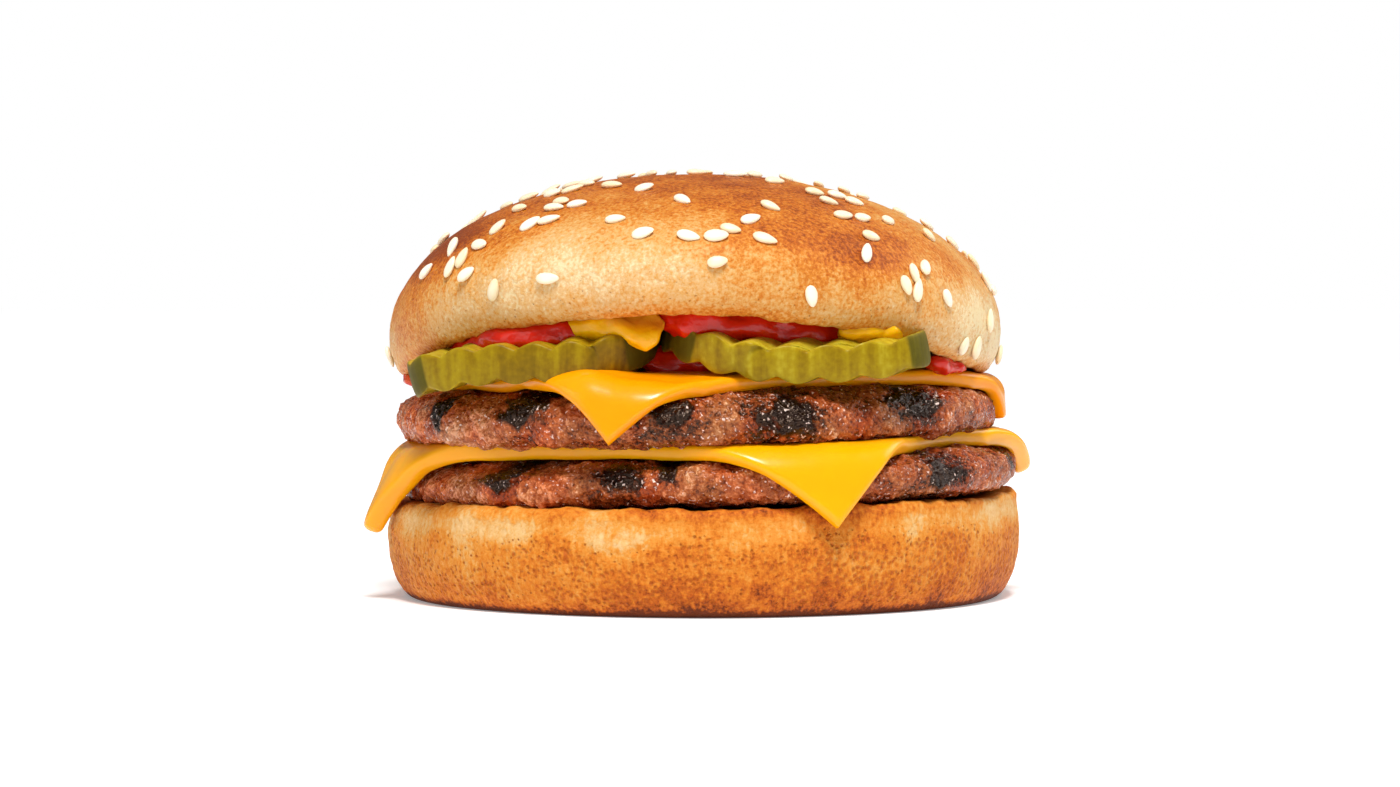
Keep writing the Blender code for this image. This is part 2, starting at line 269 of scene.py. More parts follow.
@dataclass(frozen=True)
class BakedBread:
    """Soft wheat bun. Baking browns it from cream through gold to a reddish brown, and the crumb has pores.

    One mark runs from 0, pale, to 1, darkest: mostly how well baked it is, with painted shade and painted
    highlights added in places; "open" is how open the pores are.
    """
    name: str
    browning: tuple[tuple[float, Hex], ...]
    pore: Hex
    pore_size: float
    pore_width: float
    pore_depth: float
    blotch: float
    speckle: float
    speck_size: float
    fibre: float
    roughness: float
    glaze: float
    bump: float
    blotch_size: float = 9.0 * MM
    strand_width: float = 0.75 * MM
    strand_rise: float = 0.28
    warp_size: float = 1.4 * MM
    warp_share: float = 0.0009
    rough_range: float = 0.3

    def material(self) -> bpy.types.Material:
        """Build the nodes.

        Returns:
            The material.
        """
        material = blank(self.name)
        tree = material.node_tree
        place = add(tree, "TexCoord", out="Object")
        bake, open_pores = (add(tree, "Attribute", {"attribute_name": mark}, out="Fac")
                            for mark in ("bake", "open"))
        wide = add(tree, "TexNoise", {}, {"Vector": place, "Scale": 1.0 / self.blotch_size, "Detail": 4.0,
                                          "Roughness": 0.6})
        fine = add(tree, "TexNoise", {}, {"Vector": place, "Scale": 1.0 / self.speck_size, "Detail": 4.0,
                                          "Roughness": 0.65})
        tall = add(tree, "Mapping", {}, {"Vector": place, "Scale": (1.0, 1.0, self.strand_rise)})
        strand = add(tree, "TexNoise", {}, {"Vector": tall, "Scale": 1.0 / self.strand_width, "Detail": 3.0})
        tone = bake
        for pattern, share in ((wide, self.blotch), (fine, self.speckle), (strand, self.fibre)):
            centred = add(tree, "Math", {"operation": "SUBTRACT"}, {"Value": pattern, "Value_001": 0.5})
            tone = add(tree, "Math", {"operation": "MULTIPLY_ADD"},
                       {"Value": centred, "Value_001": share, "Value_002": tone})
        crust = add(tree, "ValToRGB", {"stops": self.browning}, {"Fac": tone}, out="Color")

        warp = add(tree, "TexNoise", {}, {"Vector": place, "Scale": 1.0 / self.warp_size}, out="Color")
        warped = add(tree, "Mix", {"data_type": "VECTOR"},
                     {"Factor_Float": self.warp_share, "A_Vector": place, "B_Vector": warp})
        hole = add(tree, "TexVoronoi", {},
                   {"Vector": warped, "Scale": 1.0 / self.pore_size, "Randomness": 1.0}, out="Distance")
        width = add(tree, "MapRange", {}, {"Value": open_pores, "To Min": 0.0, "To Max": self.pore_width})
        pit = add(tree, "MapRange", {"interpolation_type": "SMOOTHSTEP"},
                  {"Value": hole, "From Min": width, "From Max": 0.0})
        colour = add(tree, "Mix", {"data_type": "RGBA"},
                     {"Factor_Float": pit, "A_Color": crust, "B_Color": self.pore})
        rough = add(tree, "Math", {"operation": "MULTIPLY_ADD"},
                    {"Value": fine, "Value_001": self.rough_range,
                     "Value_002": self.roughness - self.rough_range / 2.0})
        height = add(tree, "Math", {"operation": "MULTIPLY_ADD"},
                     {"Value": pit, "Value_001": -self.pore_depth / self.bump, "Value_002": fine})
        relief = add(tree, "Bump", {}, {"Height": height, "Distance": self.bump, "Strength": 0.9})
        finish(self.name, {"Base Color": colour, "Roughness": rough, "Normal": relief, "IOR": 1.3,
                           "Coat Weight": self.glaze, "Coat Roughness": 0.3,
                           "Subsurface Weight": 0.1, "Subsurface Radius": (1.0, 0.45, 0.15),
                           "Subsurface Scale": 1.5 * MM}, tree)
        return material


@dataclass(frozen=True)
class GrilledBeef:
    """Coarse ground beef, flame-grilled: brown crests and near-black creases, with painted shade deepening
    the creases, and fat that glistens all over, partly drawn as painted glints.

    One mark runs from crease 0 to crest 1 and also holds painted shade in the creases and painted light on
    the left side; "char" is where the grill's bars burnt it, and "sear" where it is redder, more so on the
    left as painted light. Meat fibres are under 0.1 mm across and wouldn't show, so the grain is drawn at
    0.45 mm.
    """
    name: str = "grilled ground beef"
    browning: tuple[tuple[float, Hex], ...] = ((0.0, "#1e0a04"), (0.2, "#522410"), (0.42, "#8c4824"),
                                               (0.65, "#a46034"), (0.85, "#be7e50"), (1.0, "#dcaa82"))
    red: Hex = "#ffb890"
    burnt: Hex = "#160604"
    fat: Hex = "#ffdcc0"
    fat_bead: Hex = "#f6dcd0"
    speck_size: float = 0.55 * MM
    grain_size: float = 0.45 * MM
    bead_size: float = 0.9 * MM
    blister_size: float = 1.7 * MM
    patch_size: float = 2.6 * MM
    contrast: float = 1.7
    darkening: float = 0.74
    bump: float = 0.85 * MM
    roughness: float = 0.14

    def material(self) -> bpy.types.Material:
        """Build the nodes.

        Returns:
            The material.
        """
        material = blank(self.name)
        tree = material.node_tree
        place = add(tree, "TexCoord", out="Object")
        lump, char, sear = (add(tree, "Attribute", {"attribute_name": mark}, out="Fac")
                            for mark in ("lump", "char", "sear"))
        fine = add(tree, "TexNoise", {}, {"Vector": place, "Scale": 1.0 / self.grain_size, "Detail": 5.0,
                                          "Roughness": 0.65})
        bead = add(tree, "TexNoise", {}, {"Vector": place, "Scale": 1.0 / self.bead_size, "Detail": 2.0})
        spots = add(tree, "TexNoise", {}, {"Vector": place, "Scale": 1.0 / self.patch_size, "Detail": 4.0})
        # The tone runs from painted shade in the creases to painted light on the crests.
        tone = add(tree, "Math", {"operation": "MULTIPLY_ADD"},
                   {"Value": fine, "Value_001": self.contrast, "Value_002": lump})
        tone = add(tree, "Math", {"operation": "SUBTRACT"}, {"Value": tone, "Value_001": self.darkening})
        brown = add(tree, "ValToRGB", {"stops": self.browning}, {"Fac": tone}, out="Color")
        warm = add(tree, "Mix", {"data_type": "RGBA", "blend_type": "MULTIPLY"},
                   {"Factor_Float": sear, "A_Color": brown, "B_Color": self.red})
        patchy = add(tree, "Math", {"operation": "MULTIPLY_ADD"},
                     {"Value": spots, "Value_001": 0.9, "Value_002": char})
        burn = add(tree, "MapRange", {"interpolation_type": "SMOOTHSTEP"},
                   {"Value": patchy, "From Min": 0.7, "From Max": 1.25})
        colour = add(tree, "Mix", {"data_type": "RGBA"},
                     {"Factor_Float": burn, "A_Color": warm, "B_Color": self.burnt})
        # Pale flecks, thicker where the patches are: painted glints of light on wet fat, with some real
        # flecks of fat.
        speck = add(tree, "TexNoise", {}, {"Vector": place, "Scale": 1.0 / self.speck_size, "Detail": 1.0})
        wet = add(tree, "MapRange", {}, {"Value": spots, "From Min": 0.35, "From Max": 0.6, "To Min": 0.75,
                                         "To Max": 0.655})
        speck = add(tree, "Math", {"operation": "SUBTRACT"}, {"Value": speck, "Value_001": wet})
        speck = add(tree, "MapRange", {},
                    {"Value": speck, "From Min": -0.03, "From Max": 0.07, "To Max": 0.85})
        colour = add(tree, "Mix", {"data_type": "RGBA"},
                     {"Factor_Float": speck, "A_Color": colour, "B_Color": self.fat_bead})
        rough = add(tree, "Math", {"operation": "MULTIPLY_ADD"},
                    {"Value": burn, "Value_001": 0.1, "Value_002": self.roughness})
        blister = add(tree, "TexNoise", {},
                      {"Vector": place, "Scale": 1.0 / self.blister_size, "Detail": 0.5})
        blister = add(tree, "Math", {"operation": "MULTIPLY"}, {"Value": blister, "Value_001": burn})
        height = add(tree, "Math", {"operation": "MULTIPLY_ADD"},
                     {"Value": blister, "Value_001": 1.6, "Value_002": bead})
        relief = add(tree, "Bump", {}, {"Height": height, "Distance": self.bump, "Strength": 1.0})
        finish(self.name, {"Base Color": colour, "Roughness": rough, "Normal": relief, "IOR": 1.45,
                           "Specular Tint": self.fat,
                           "Subsurface Weight": 0.06, "Subsurface Radius": (1.0, 0.3, 0.2),
                           "Subsurface Scale": 1.5 * MM}, tree)
        return material


@dataclass(frozen=True)
class ProcessedCheese:
    """Processed cheddar slice, just melted: even deep yellow, waxy, and its thin edges let light through."""
    name: str = "melted processed cheddar"
    colour: Hex = "#f9a200"
    pale: Hex = "#feb200"
    roughness: float = 0.24
    cloud_size: float = 14.0 * MM
    sweat_size: float = 1.1 * MM

    def material(self) -> bpy.types.Material:
        """Build the nodes.

        Returns:
            The material.
        """
        material = blank(self.name)
        tree = material.node_tree
        place = add(tree, "TexCoord", out="Object")
        cloud = add(tree, "TexNoise", {}, {"Vector": place, "Scale": 1.0 / self.cloud_size, "Detail": 2.0})
        colour = add(tree, "Mix", {"data_type": "RGBA"},
                     {"Factor_Float": cloud, "A_Color": self.colour, "B_Color": self.pale})
        sweat = add(tree, "TexNoise", {}, {"Vector": place, "Scale": 1.0 / self.sweat_size, "Detail": 2.0})
        patch = add(tree, "MapRange", {"interpolation_type": "SMOOTHSTEP"},
                    {"Value": cloud, "From Min": 0.5, "From Max": 0.7})
        height = add(tree, "Math", {"operation": "MULTIPLY"}, {"Value": sweat, "Value_001": patch})
        relief = add(tree, "Bump", {}, {"Height": height, "Distance": 0.2 * MM, "Strength": 0.5})
        finish(self.name, {"Base Color": colour, "Roughness": self.roughness, "Normal": relief, "IOR": 1.36,
                           "Coat Weight": 0.05, "Coat Roughness": 0.12,
                           "Subsurface Weight": 0.3, "Subsurface Radius": (1.0, 0.5, 0.08),
                           "Subsurface Scale": 2.0 * MM}, tree)
        return material


@dataclass(frozen=True)
class PickledCucumber:
    """Cucumber in brine: wet, watery green flesh with streaks, and a thin darker skin.

    The mark "skin" is 1 on the skin and 0 in the flesh; the second mark is how yellow-green the flesh is,
    and a lower value at one end of a chip is painted shade.
    """
    name: str = "pickled cucumber"
    flesh: tuple[tuple[float, Hex], ...] = ((0.0, "#58400a"), (0.4, "#86680a"), (0.7, "#a08610"),
                                            (1.0, "#bcaa2c"))
    skin: Hex = "#3a3c06"
    streak_width: float = 1.6 * MM
    streak_rise: float = 0.12
    speck_size: float = 0.8 * MM

    def material(self) -> bpy.types.Material:
        """Build the nodes.

        Returns:
            The material.
        """
        material = blank(self.name)
        tree = material.node_tree
        place = add(tree, "TexCoord", out="Object")
        skin, fresh = (add(tree, "Attribute", {"attribute_name": mark}, out="Fac")
                       for mark in ("skin", "fresh"))
        tall = add(tree, "Mapping", {}, {"Vector": place, "Scale": (1.0, 1.0, self.streak_rise)})
        streak = add(tree, "TexNoise", {}, {"Vector": tall, "Scale": 1.0 / self.streak_width, "Detail": 3.0})
        speck = add(tree, "TexNoise", {}, {"Vector": place, "Scale": 1.0 / self.speck_size, "Detail": 3.0})
        tone = add(tree, "Math", {"operation": "MULTIPLY_ADD"},
                   {"Value": streak, "Value_001": 1.0, "Value_002": fresh})
        tone = add(tree, "Math", {"operation": "MULTIPLY_ADD"},
                   {"Value": speck, "Value_001": 0.5, "Value_002": tone})
        tone = add(tree, "Math", {"operation": "SUBTRACT"}, {"Value": tone, "Value_001": 0.75})
        flesh = add(tree, "ValToRGB", {"stops": self.flesh}, {"Fac": tone}, out="Color")
        colour = add(tree, "Mix", {"data_type": "RGBA"},
                     {"Factor_Float": skin, "A_Color": flesh, "B_Color": self.skin})
        relief = add(tree, "Bump", {}, {"Height": streak, "Distance": 0.3 * MM, "Strength": 0.35})
        rough = add(tree, "Math", {"operation": "MULTIPLY_ADD"},
                    {"Value": skin, "Value_001": 0.4, "Value_002": 0.28})
        finish(self.name, {"Base Color": colour, "Roughness": rough, "Normal": relief, "IOR": 1.2,
                           "Subsurface Weight": 0.3, "Subsurface Radius": (1.0, 0.9, 0.15),
                           "Subsurface Scale": 2.0 * MM}, tree)
        return material


@dataclass(frozen=True)
class TableSauce:
    """Thick sauce with a wet skin: an even colour that turns to another over its top and one end.

    The mark is how far a point has turned to the second colour: mixing with the other sauce, and on the
    mustard also painted shade under the crown's lip.
    """
    name: str
    colour: Hex
    mixed: Hex
    roughness: float
    depth: float
    pulp_size: float = 1.5 * MM

    def material(self) -> bpy.types.Material:
        """Build the nodes.

        Returns:
            The material.
        """
        material = blank(self.name)
        tree = material.node_tree
        place = add(tree, "TexCoord", out="Object")
        mixed = add(tree, "Attribute", {"attribute_name": "mixed"}, out="Fac")
        pulp = add(tree, "TexNoise", {}, {"Vector": place, "Scale": 1.0 / self.pulp_size, "Detail": 3.0})
        colour = add(tree, "Mix", {"data_type": "RGBA"},
                     {"Factor_Float": mixed, "A_Color": self.colour, "B_Color": self.mixed})
        relief = add(tree, "Bump", {}, {"Height": pulp, "Distance": 0.4 * MM, "Strength": 0.7})
        finish(self.name, {"Base Color": colour, "Roughness": self.roughness, "Normal": relief, "IOR": 1.4,
                           "Coat Weight": 0.08, "Coat Roughness": 0.05,
                           "Subsurface Weight": 0.25, "Subsurface Radius": (1.0, 0.3, 0.1),
                           "Subsurface Scale": self.depth}, tree)
        return material


@dataclass(frozen=True)
class HulledSesame:
    """Hulled sesame: ivory, smooth, a little oily. The mark "shade" tones each seed and paints shade on its
    rim.
    """
    name: str = "hulled sesame seed"
    tones: tuple[tuple[float, Hex], ...] = ((0.0, "#ecd4a4"), (0.5, "#f8e8ca"), (1.0, "#fcf2e0"))

    def material(self) -> bpy.types.Material:
        """Build the nodes.

        Returns:
            The material.
        """
        material = blank(self.name)
        tree = material.node_tree
        shade = add(tree, "Attribute", {"attribute_name": "shade"}, out="Fac")
        colour = add(tree, "ValToRGB", {"stops": self.tones}, {"Fac": shade}, out="Color")
        finish(self.name, {"Base Color": colour, "Roughness": 0.38, "IOR": 1.47,
                           "Subsurface Weight": 0.25, "Subsurface Radius": (1.0, 0.8, 0.5),
                           "Subsurface Scale": 0.8 * MM}, tree)
        return material


CRUST = BakedBread("egg-washed bun crust",
                   browning=((0.0, "#ead2a2"), (0.2, "#e2b67c"), (0.4, "#dea458"), (0.6, "#d68226"),
                             (0.8, "#c0620e"), (1.0, "#8e3c02")),
                   pore="#a05a1c", pore_size=1.0 * MM, pore_width=0.32, pore_depth=0.12 * MM, blotch=0.8,
                   speckle=1.25, speck_size=0.55 * MM, fibre=0.4, roughness=0.44, glaze=0.05, bump=0.4 * MM)
CRUMB = BakedBread("toasted bun crumb",
                   browning=((0.0, "#e4bc84"), (0.22, "#dcaa66"), (0.42, "#dc9238"), (0.62, "#d47a1a"),
                             (0.82, "#b8580c"), (1.0, "#682a04")),
                   pore="#b8580e", pore_size=0.85 * MM, pore_width=0.7, pore_depth=0.4 * MM, blotch=0.5,
                   speckle=0.9, speck_size=0.7 * MM, fibre=0.5, roughness=0.62, glaze=0.0, bump=0.4 * MM)
BEEF = GrilledBeef()
CHEDDAR = ProcessedCheese()
# The upper slice lies in the crown's shade, so it is painted a shade deeper than the lower one.
SHADED_CHEDDAR = ProcessedCheese("melted processed cheddar, deeper", colour="#f59200", pale="#faa000")
CUCUMBER = PickledCucumber()
SESAME = HulledSesame()
KETCHUP = TableSauce("tomato ketchup", colour="#cc2006", mixed="#d84c0c", roughness=0.12, depth=1.5 * MM)
MUSTARD = TableSauce("yellow mustard", colour="#fcba00", mixed="#d8921c", roughness=0.25, depth=1.8 * MM)


# --- Bun ------------------------------------------------------------------------------------------

@dataclass
class Crown:
    """Top half of the bun: a dome over a rounded lower lip, with a ceiling that rests on the filling."""
    node: str = "crown"
    waist: float = 6.5 * MM
    lip_round: float = 3.4 * MM
    ceiling: float = 44.6 * MM
    ceiling_fall: float = 7.2 * MM
    columns: int = 640
    dome_rows: int = 104
    lip_rows: int = 24
    ceiling_rows: int = 8
    # Height of the lowest edge, and height to which the crust stays pale, at azimuths in degrees.
    rim_line: tuple[tuple[float, float], ...] = (
        (-180, 34.6), (-95, 34.0), (-79, 34.6), (-62, 38.6), (-44, 41.8), (-24, 43.4), (0, 45), (19, 43.6),
        (39, 41.4), (62, 36.9), (85, 35.2), (180, 34.8))
    pale_line: tuple[tuple[float, float], ...] = (
        (-180, 46), (-100, 45), (-78, 45), (-66, 46), (-48, 54), (-30, 57), (-15, 57.5), (0, 56), (15, 54),
        (30, 51), (50, 49), (75, 47), (100, 45), (180, 46))

    def __post_init__(self) -> None:
        """Take the radius, the middle and the top from the solid."""
        low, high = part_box(self.node)
        self.radius = (high.x - low.x) / 2.0
        self.centre_x = (high.x + low.x) / 2.0
        self.top = high.z

    def rim_height(self, azimuth: np.ndarray) -> np.ndarray:
        """Height of the lowest edge at an azimuth in radians, with its corners eased over a few degrees."""
        degrees = (np.degrees(azimuth) + 180.0) % 360.0 - 180.0
        eased = sum(np.interp(degrees + ease, *zip(*self.rim_line)) for ease in (-8.0, -4.0, 0.0, 4.0, 8.0))
        return eased / 5.0 * MM

    def rings(self) -> np.ndarray:
        """Rings of the plain form, down the dome, round the lip and in over the ceiling.

        Returns:
            Points of (rows, columns, 3).
        """
        azimuth = full_turn(self.columns)[None, :]
        rim = self.rim_height(azimuth)
        waist = rim + self.waist
        inner = self.radius - self.lip_round
        down = np.linspace(0.0, math.pi / 2.0, self.dome_rows)[:, None]
        dome = (self.radius * np.sin(down) + 0.0 * azimuth, waist + (self.top - waist) * np.cos(down))
        turn = column(0.0, math.pi / 2.0, self.lip_rows)
        lip = (inner + self.lip_round * np.cos(turn) + 0.0 * azimuth, waist - self.waist * np.sin(turn))
        share = column(1.0, 0.0, self.ceiling_rows) ** 1.5
        across = inner * share + 0.0 * azimuth
        fallen = ramp(-across * np.cos(azimuth), -9.0 * MM, 8.0 * MM)
        roof = self.ceiling - self.ceiling_fall * fallen
        inside = (across, rim + (roof - rim) * ramp(1.0 - share, 0.0, 0.12))
        reach = np.vstack([dome[0], lip[0], inside[0]])
        height = np.vstack([dome[1], lip[1], inside[1]])
        step_x, step_y = heading(azimuth)
        return np.stack([self.centre_x + reach * step_x, reach * step_y, height], -1)

    def build(self) -> np.ndarray:
        """Model the crown and put it in the scene.

        Returns:
            The rings of its dome and lip, which the seeds lie on.
        """
        rings = self.rings()
        normals = outward(rings)
        azimuth = np.degrees(np.arctan2(rings[..., 0] - self.centre_x, -rings[..., 1]))
        height = rings[..., 2] / MM
        pale = np.interp(azimuth, *zip(*self.pale_line))
        wander = grain(rings, 13.0 * MM, 4, seed=1)
        pale_share = 1.0 - ramp(height + 3.0 * wander, pale - 9.0, pale + 6.0)

        swell = 0.45 * grain(rings, 34.0 * MM, 2, seed=2) + 0.14 * grain(rings, 7.0 * MM, 2, seed=3)
        wrinkle = grain(rings, 1.5 * MM, 2, seed=4, stretch=(1.0, 1.0, 2.6))
        skin = grain(rings, 1.1 * MM, 2, seed=5)
        rim = self.rim_height(np.radians(azimuth)) / MM
        lip = hump(height, rim, 2.0)
        relief = swell + pale_share * 0.14 * wrinkle + 0.045 * skin
        relief += 0.35 * lip * grain(rings, 3.0 * MM, 3, seed=6)
        rings = rings + normals * (relief * MM)[..., None]

        off_axis = ramp(np.hypot(rings[..., 0] - self.centre_x, rings[..., 1]), 3.0 * MM, 26.0 * MM)
        bake = 0.8 - 0.68 * pale_share + 0.06 * ramp(height, 58.0, 66.0)
        # Painted highlight: a paler patch on the top front, where the light falls.
        bake -= 0.16 * hump(azimuth, -5.0, 40.0) * hump(height, 59.0, 8.0)
        # Darker at the lip and over the lowest 9 mm: partly a toasted edge, partly painted shade under the
        # dome.
        bake += 0.4 * lip * (0.6 + 0.4 * wander) + 0.26 * ramp(rim + 9.0 - height, 0.0, 9.0)
        # Painted shade: the left shoulder is darker, on the side away from the light.
        bake += off_axis * 0.3 * hump(azimuth, -62.0, 32.0) * hump(height, 54.0, 11.0)
        bake += 0.14 * hump(azimuth, 24.0, 32.0) * hump(height, 51.0, 10.0)
        bake -= off_axis * 0.08 * hump(azimuth, -36.0, 34.0) * ramp(height, 48.0, 56.0)
        # Painted sheen: the right side is paler, where the light from the right falls on it.
        bake -= off_axis * 0.3 * hump(azimuth, 76.0, 48.0)
        open_pores = 0.2 + 0.6 * ramp(rim + 9.0 - height, 0.0, 9.0)
        mesh = closed_mesh("bun_crown", rings, {"bake": bake, "open": open_pores})
        serve("bun_crown", mesh, CRUST.material(), self.node)
        return rings[:self.dome_rows + self.lip_rows]


@dataclass
class Heel:
    """Bottom half of the bun: a turned form with a flat foot, a full belly and a soft, ragged shoulder."""
    node: str = "heel"
    foot_radius: float = 45.8 * MM
    top_radius: float = 49.6 * MM
    belly_height: float = 10.5 * MM
    face_dip: float = 0.5 * MM
    rim_rise: float = 0.75
    columns: int = 780
    face_rows: int = 12
    shoulder_rows: int = 9
    side_rows: int = 11
    belly_rows: int = 40
    foot_rows: int = 5

    def __post_init__(self) -> None:
        """Take the outer radius and the height from the solid."""
        low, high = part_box(self.node)
        self.radius = (high.x - low.x) / 2.0
        self.height = high.z

    def rings(self) -> np.ndarray:
        """Rings of the plain form, out over the cut face, down the side and in under the foot.

        Returns:
            Points of (rows, columns, 3).
        """
        azimuth = full_turn(self.columns)[None, :]
        step_x, step_y = heading(azimuth)
        leftness = 0.5 - 0.5 * step_x
        around = np.stack([self.radius * step_x, self.radius * step_y, 0.0 * step_x], -1)
        ragged = 0.5 * MM * grain(around, 5.0 * MM, 4, seed=11)
        top = self.height + (self.rim_rise - 1.3 * leftness) * MM + ragged
        shoulder = (1.0 + 1.4 * leftness ** 3) * MM
        edge = self.top_radius - shoulder
        across = np.linspace(0.0, 1.0, self.face_rows)[:, None] ** 0.5 * edge
        rise = (top - self.height + self.face_dip) * ramp(across / edge, 0.8, 1.0)
        face = (across, self.height - self.face_dip + rise)
        turn = column(0.0, math.pi / 2.0, self.shoulder_rows)
        corner = (edge + shoulder * np.sin(turn), top - shoulder * (1.0 - np.cos(turn)))
        fall = column(0.0, 1.0, self.side_rows)
        side = (self.top_radius + (self.radius - self.top_radius) * ramp(fall, 0.0, 1.0) + 0.0 * azimuth,
                (top - shoulder) * (1.0 - fall) + self.belly_height * fall)
        curl = column(0.0, math.pi / 2.0, self.belly_rows)
        belly = (self.foot_radius + (self.radius - self.foot_radius) * np.cos(curl) + 0.0 * azimuth,
                 self.belly_height * (1.0 - np.sin(curl)) + 0.0 * azimuth)
        inwards = column(1.0, 0.0, self.foot_rows)
        foot = (self.foot_radius * inwards + 0.0 * azimuth, 0.0 * inwards + 0.0 * azimuth)
        parts = (face, corner, side, belly, foot)
        reach = np.vstack([part[0] for part in parts])
        height = np.vstack([part[1] for part in parts])
        return np.stack([reach * step_x, reach * step_y, height], -1)

    def build(self) -> None:
        """Model the heel and put it in the scene."""
        rings = self.rings()
        normals = outward(rings)
        azimuth = np.degrees(np.arctan2(rings[..., 0], -rings[..., 1]))
        height = rings[..., 2] / MM
        wander = grain(rings, 9.0 * MM, 4, seed=12)
        line = 12.0 + 1.5 * wander - 2.6 * hump(azimuth, -13.0, 16.0) + 0.7 * np.sin(np.radians(azimuth))
        toast = 1.0 - ramp(height, line - 2.0, line + 2.2)

        small, _ = clumps(rings, 1.3 * MM, seed=13)
        rough = 0.12 * (1.0 - ramp(small, 0.15, 0.5)) * ramp(toast, 0.1, 0.7)
        fibre = grain(rings, 1.1 * MM, 3, seed=16, stretch=(1.0, 1.0, 1.7))
        swell = 0.3 * grain(rings, 26.0 * MM, 2, seed=17) + 0.12 * grain(rings, 5.0 * MM, 3, seed=18)
        torn = hump(azimuth, -13.0, 15.0) * hump(height, 11.0, 4.0)
        flake = torn * grain(rings, 2.4 * MM, 3, seed=19)
        relief = swell + 0.14 * fibre * (1.0 - 0.4 * toast) - rough + 0.45 * flake
        relief *= ramp(height, 0.0, 0.9)
        rings = rings + normals * (relief * MM)[..., None]

        shade_line = self.height / MM + self.rim_rise - 0.65 * (1.0 - np.sin(np.radians(azimuth)))
        bake = 0.28 + 0.32 * toast + 0.16 * wander - 0.25 * torn * ramp(flake, -0.1, 0.3)
        # Painted shadow of the patty, with meat juice soaked in: the side is darker just under the patty.
        band = ramp(height + wander, shade_line - 3.0, shade_line - 0.4)
        bake += (0.24 + 0.08 * np.cos(np.radians(azimuth))) * band
        # Darker at the top front too: more painted shadow of the patty, and juice.
        bake += 0.22 * hump(azimuth, 0.0, 50.0) * hump(height, 14.5, 5.0)
        bake -= 0.1 * ramp(-np.sin(np.radians(azimuth)), 0.0, 0.8)
        # Darker towards the bottom: partly the base's deeper toast, partly painted shade where it meets the
        # floor.
        bake += 0.2 * toast * ramp(8.5 - height, 0.0, 8.0) + 0.45 * ramp(1.7 - height, 0.0, 1.7)
        open_pores = np.clip(toast * (0.75 + 0.5 * grain(rings, 8.0 * MM, 2, seed=15)), 0.0, 1.0)
        open_pores *= ramp(height, 0.5, 2.5)
        mesh = closed_mesh("bun_heel", rings, {"bake": bake, "open": open_pores})
        serve("bun_heel", mesh, CRUMB.material(), self.node)


# --- Patties --------------------------------------------------------------------------------------

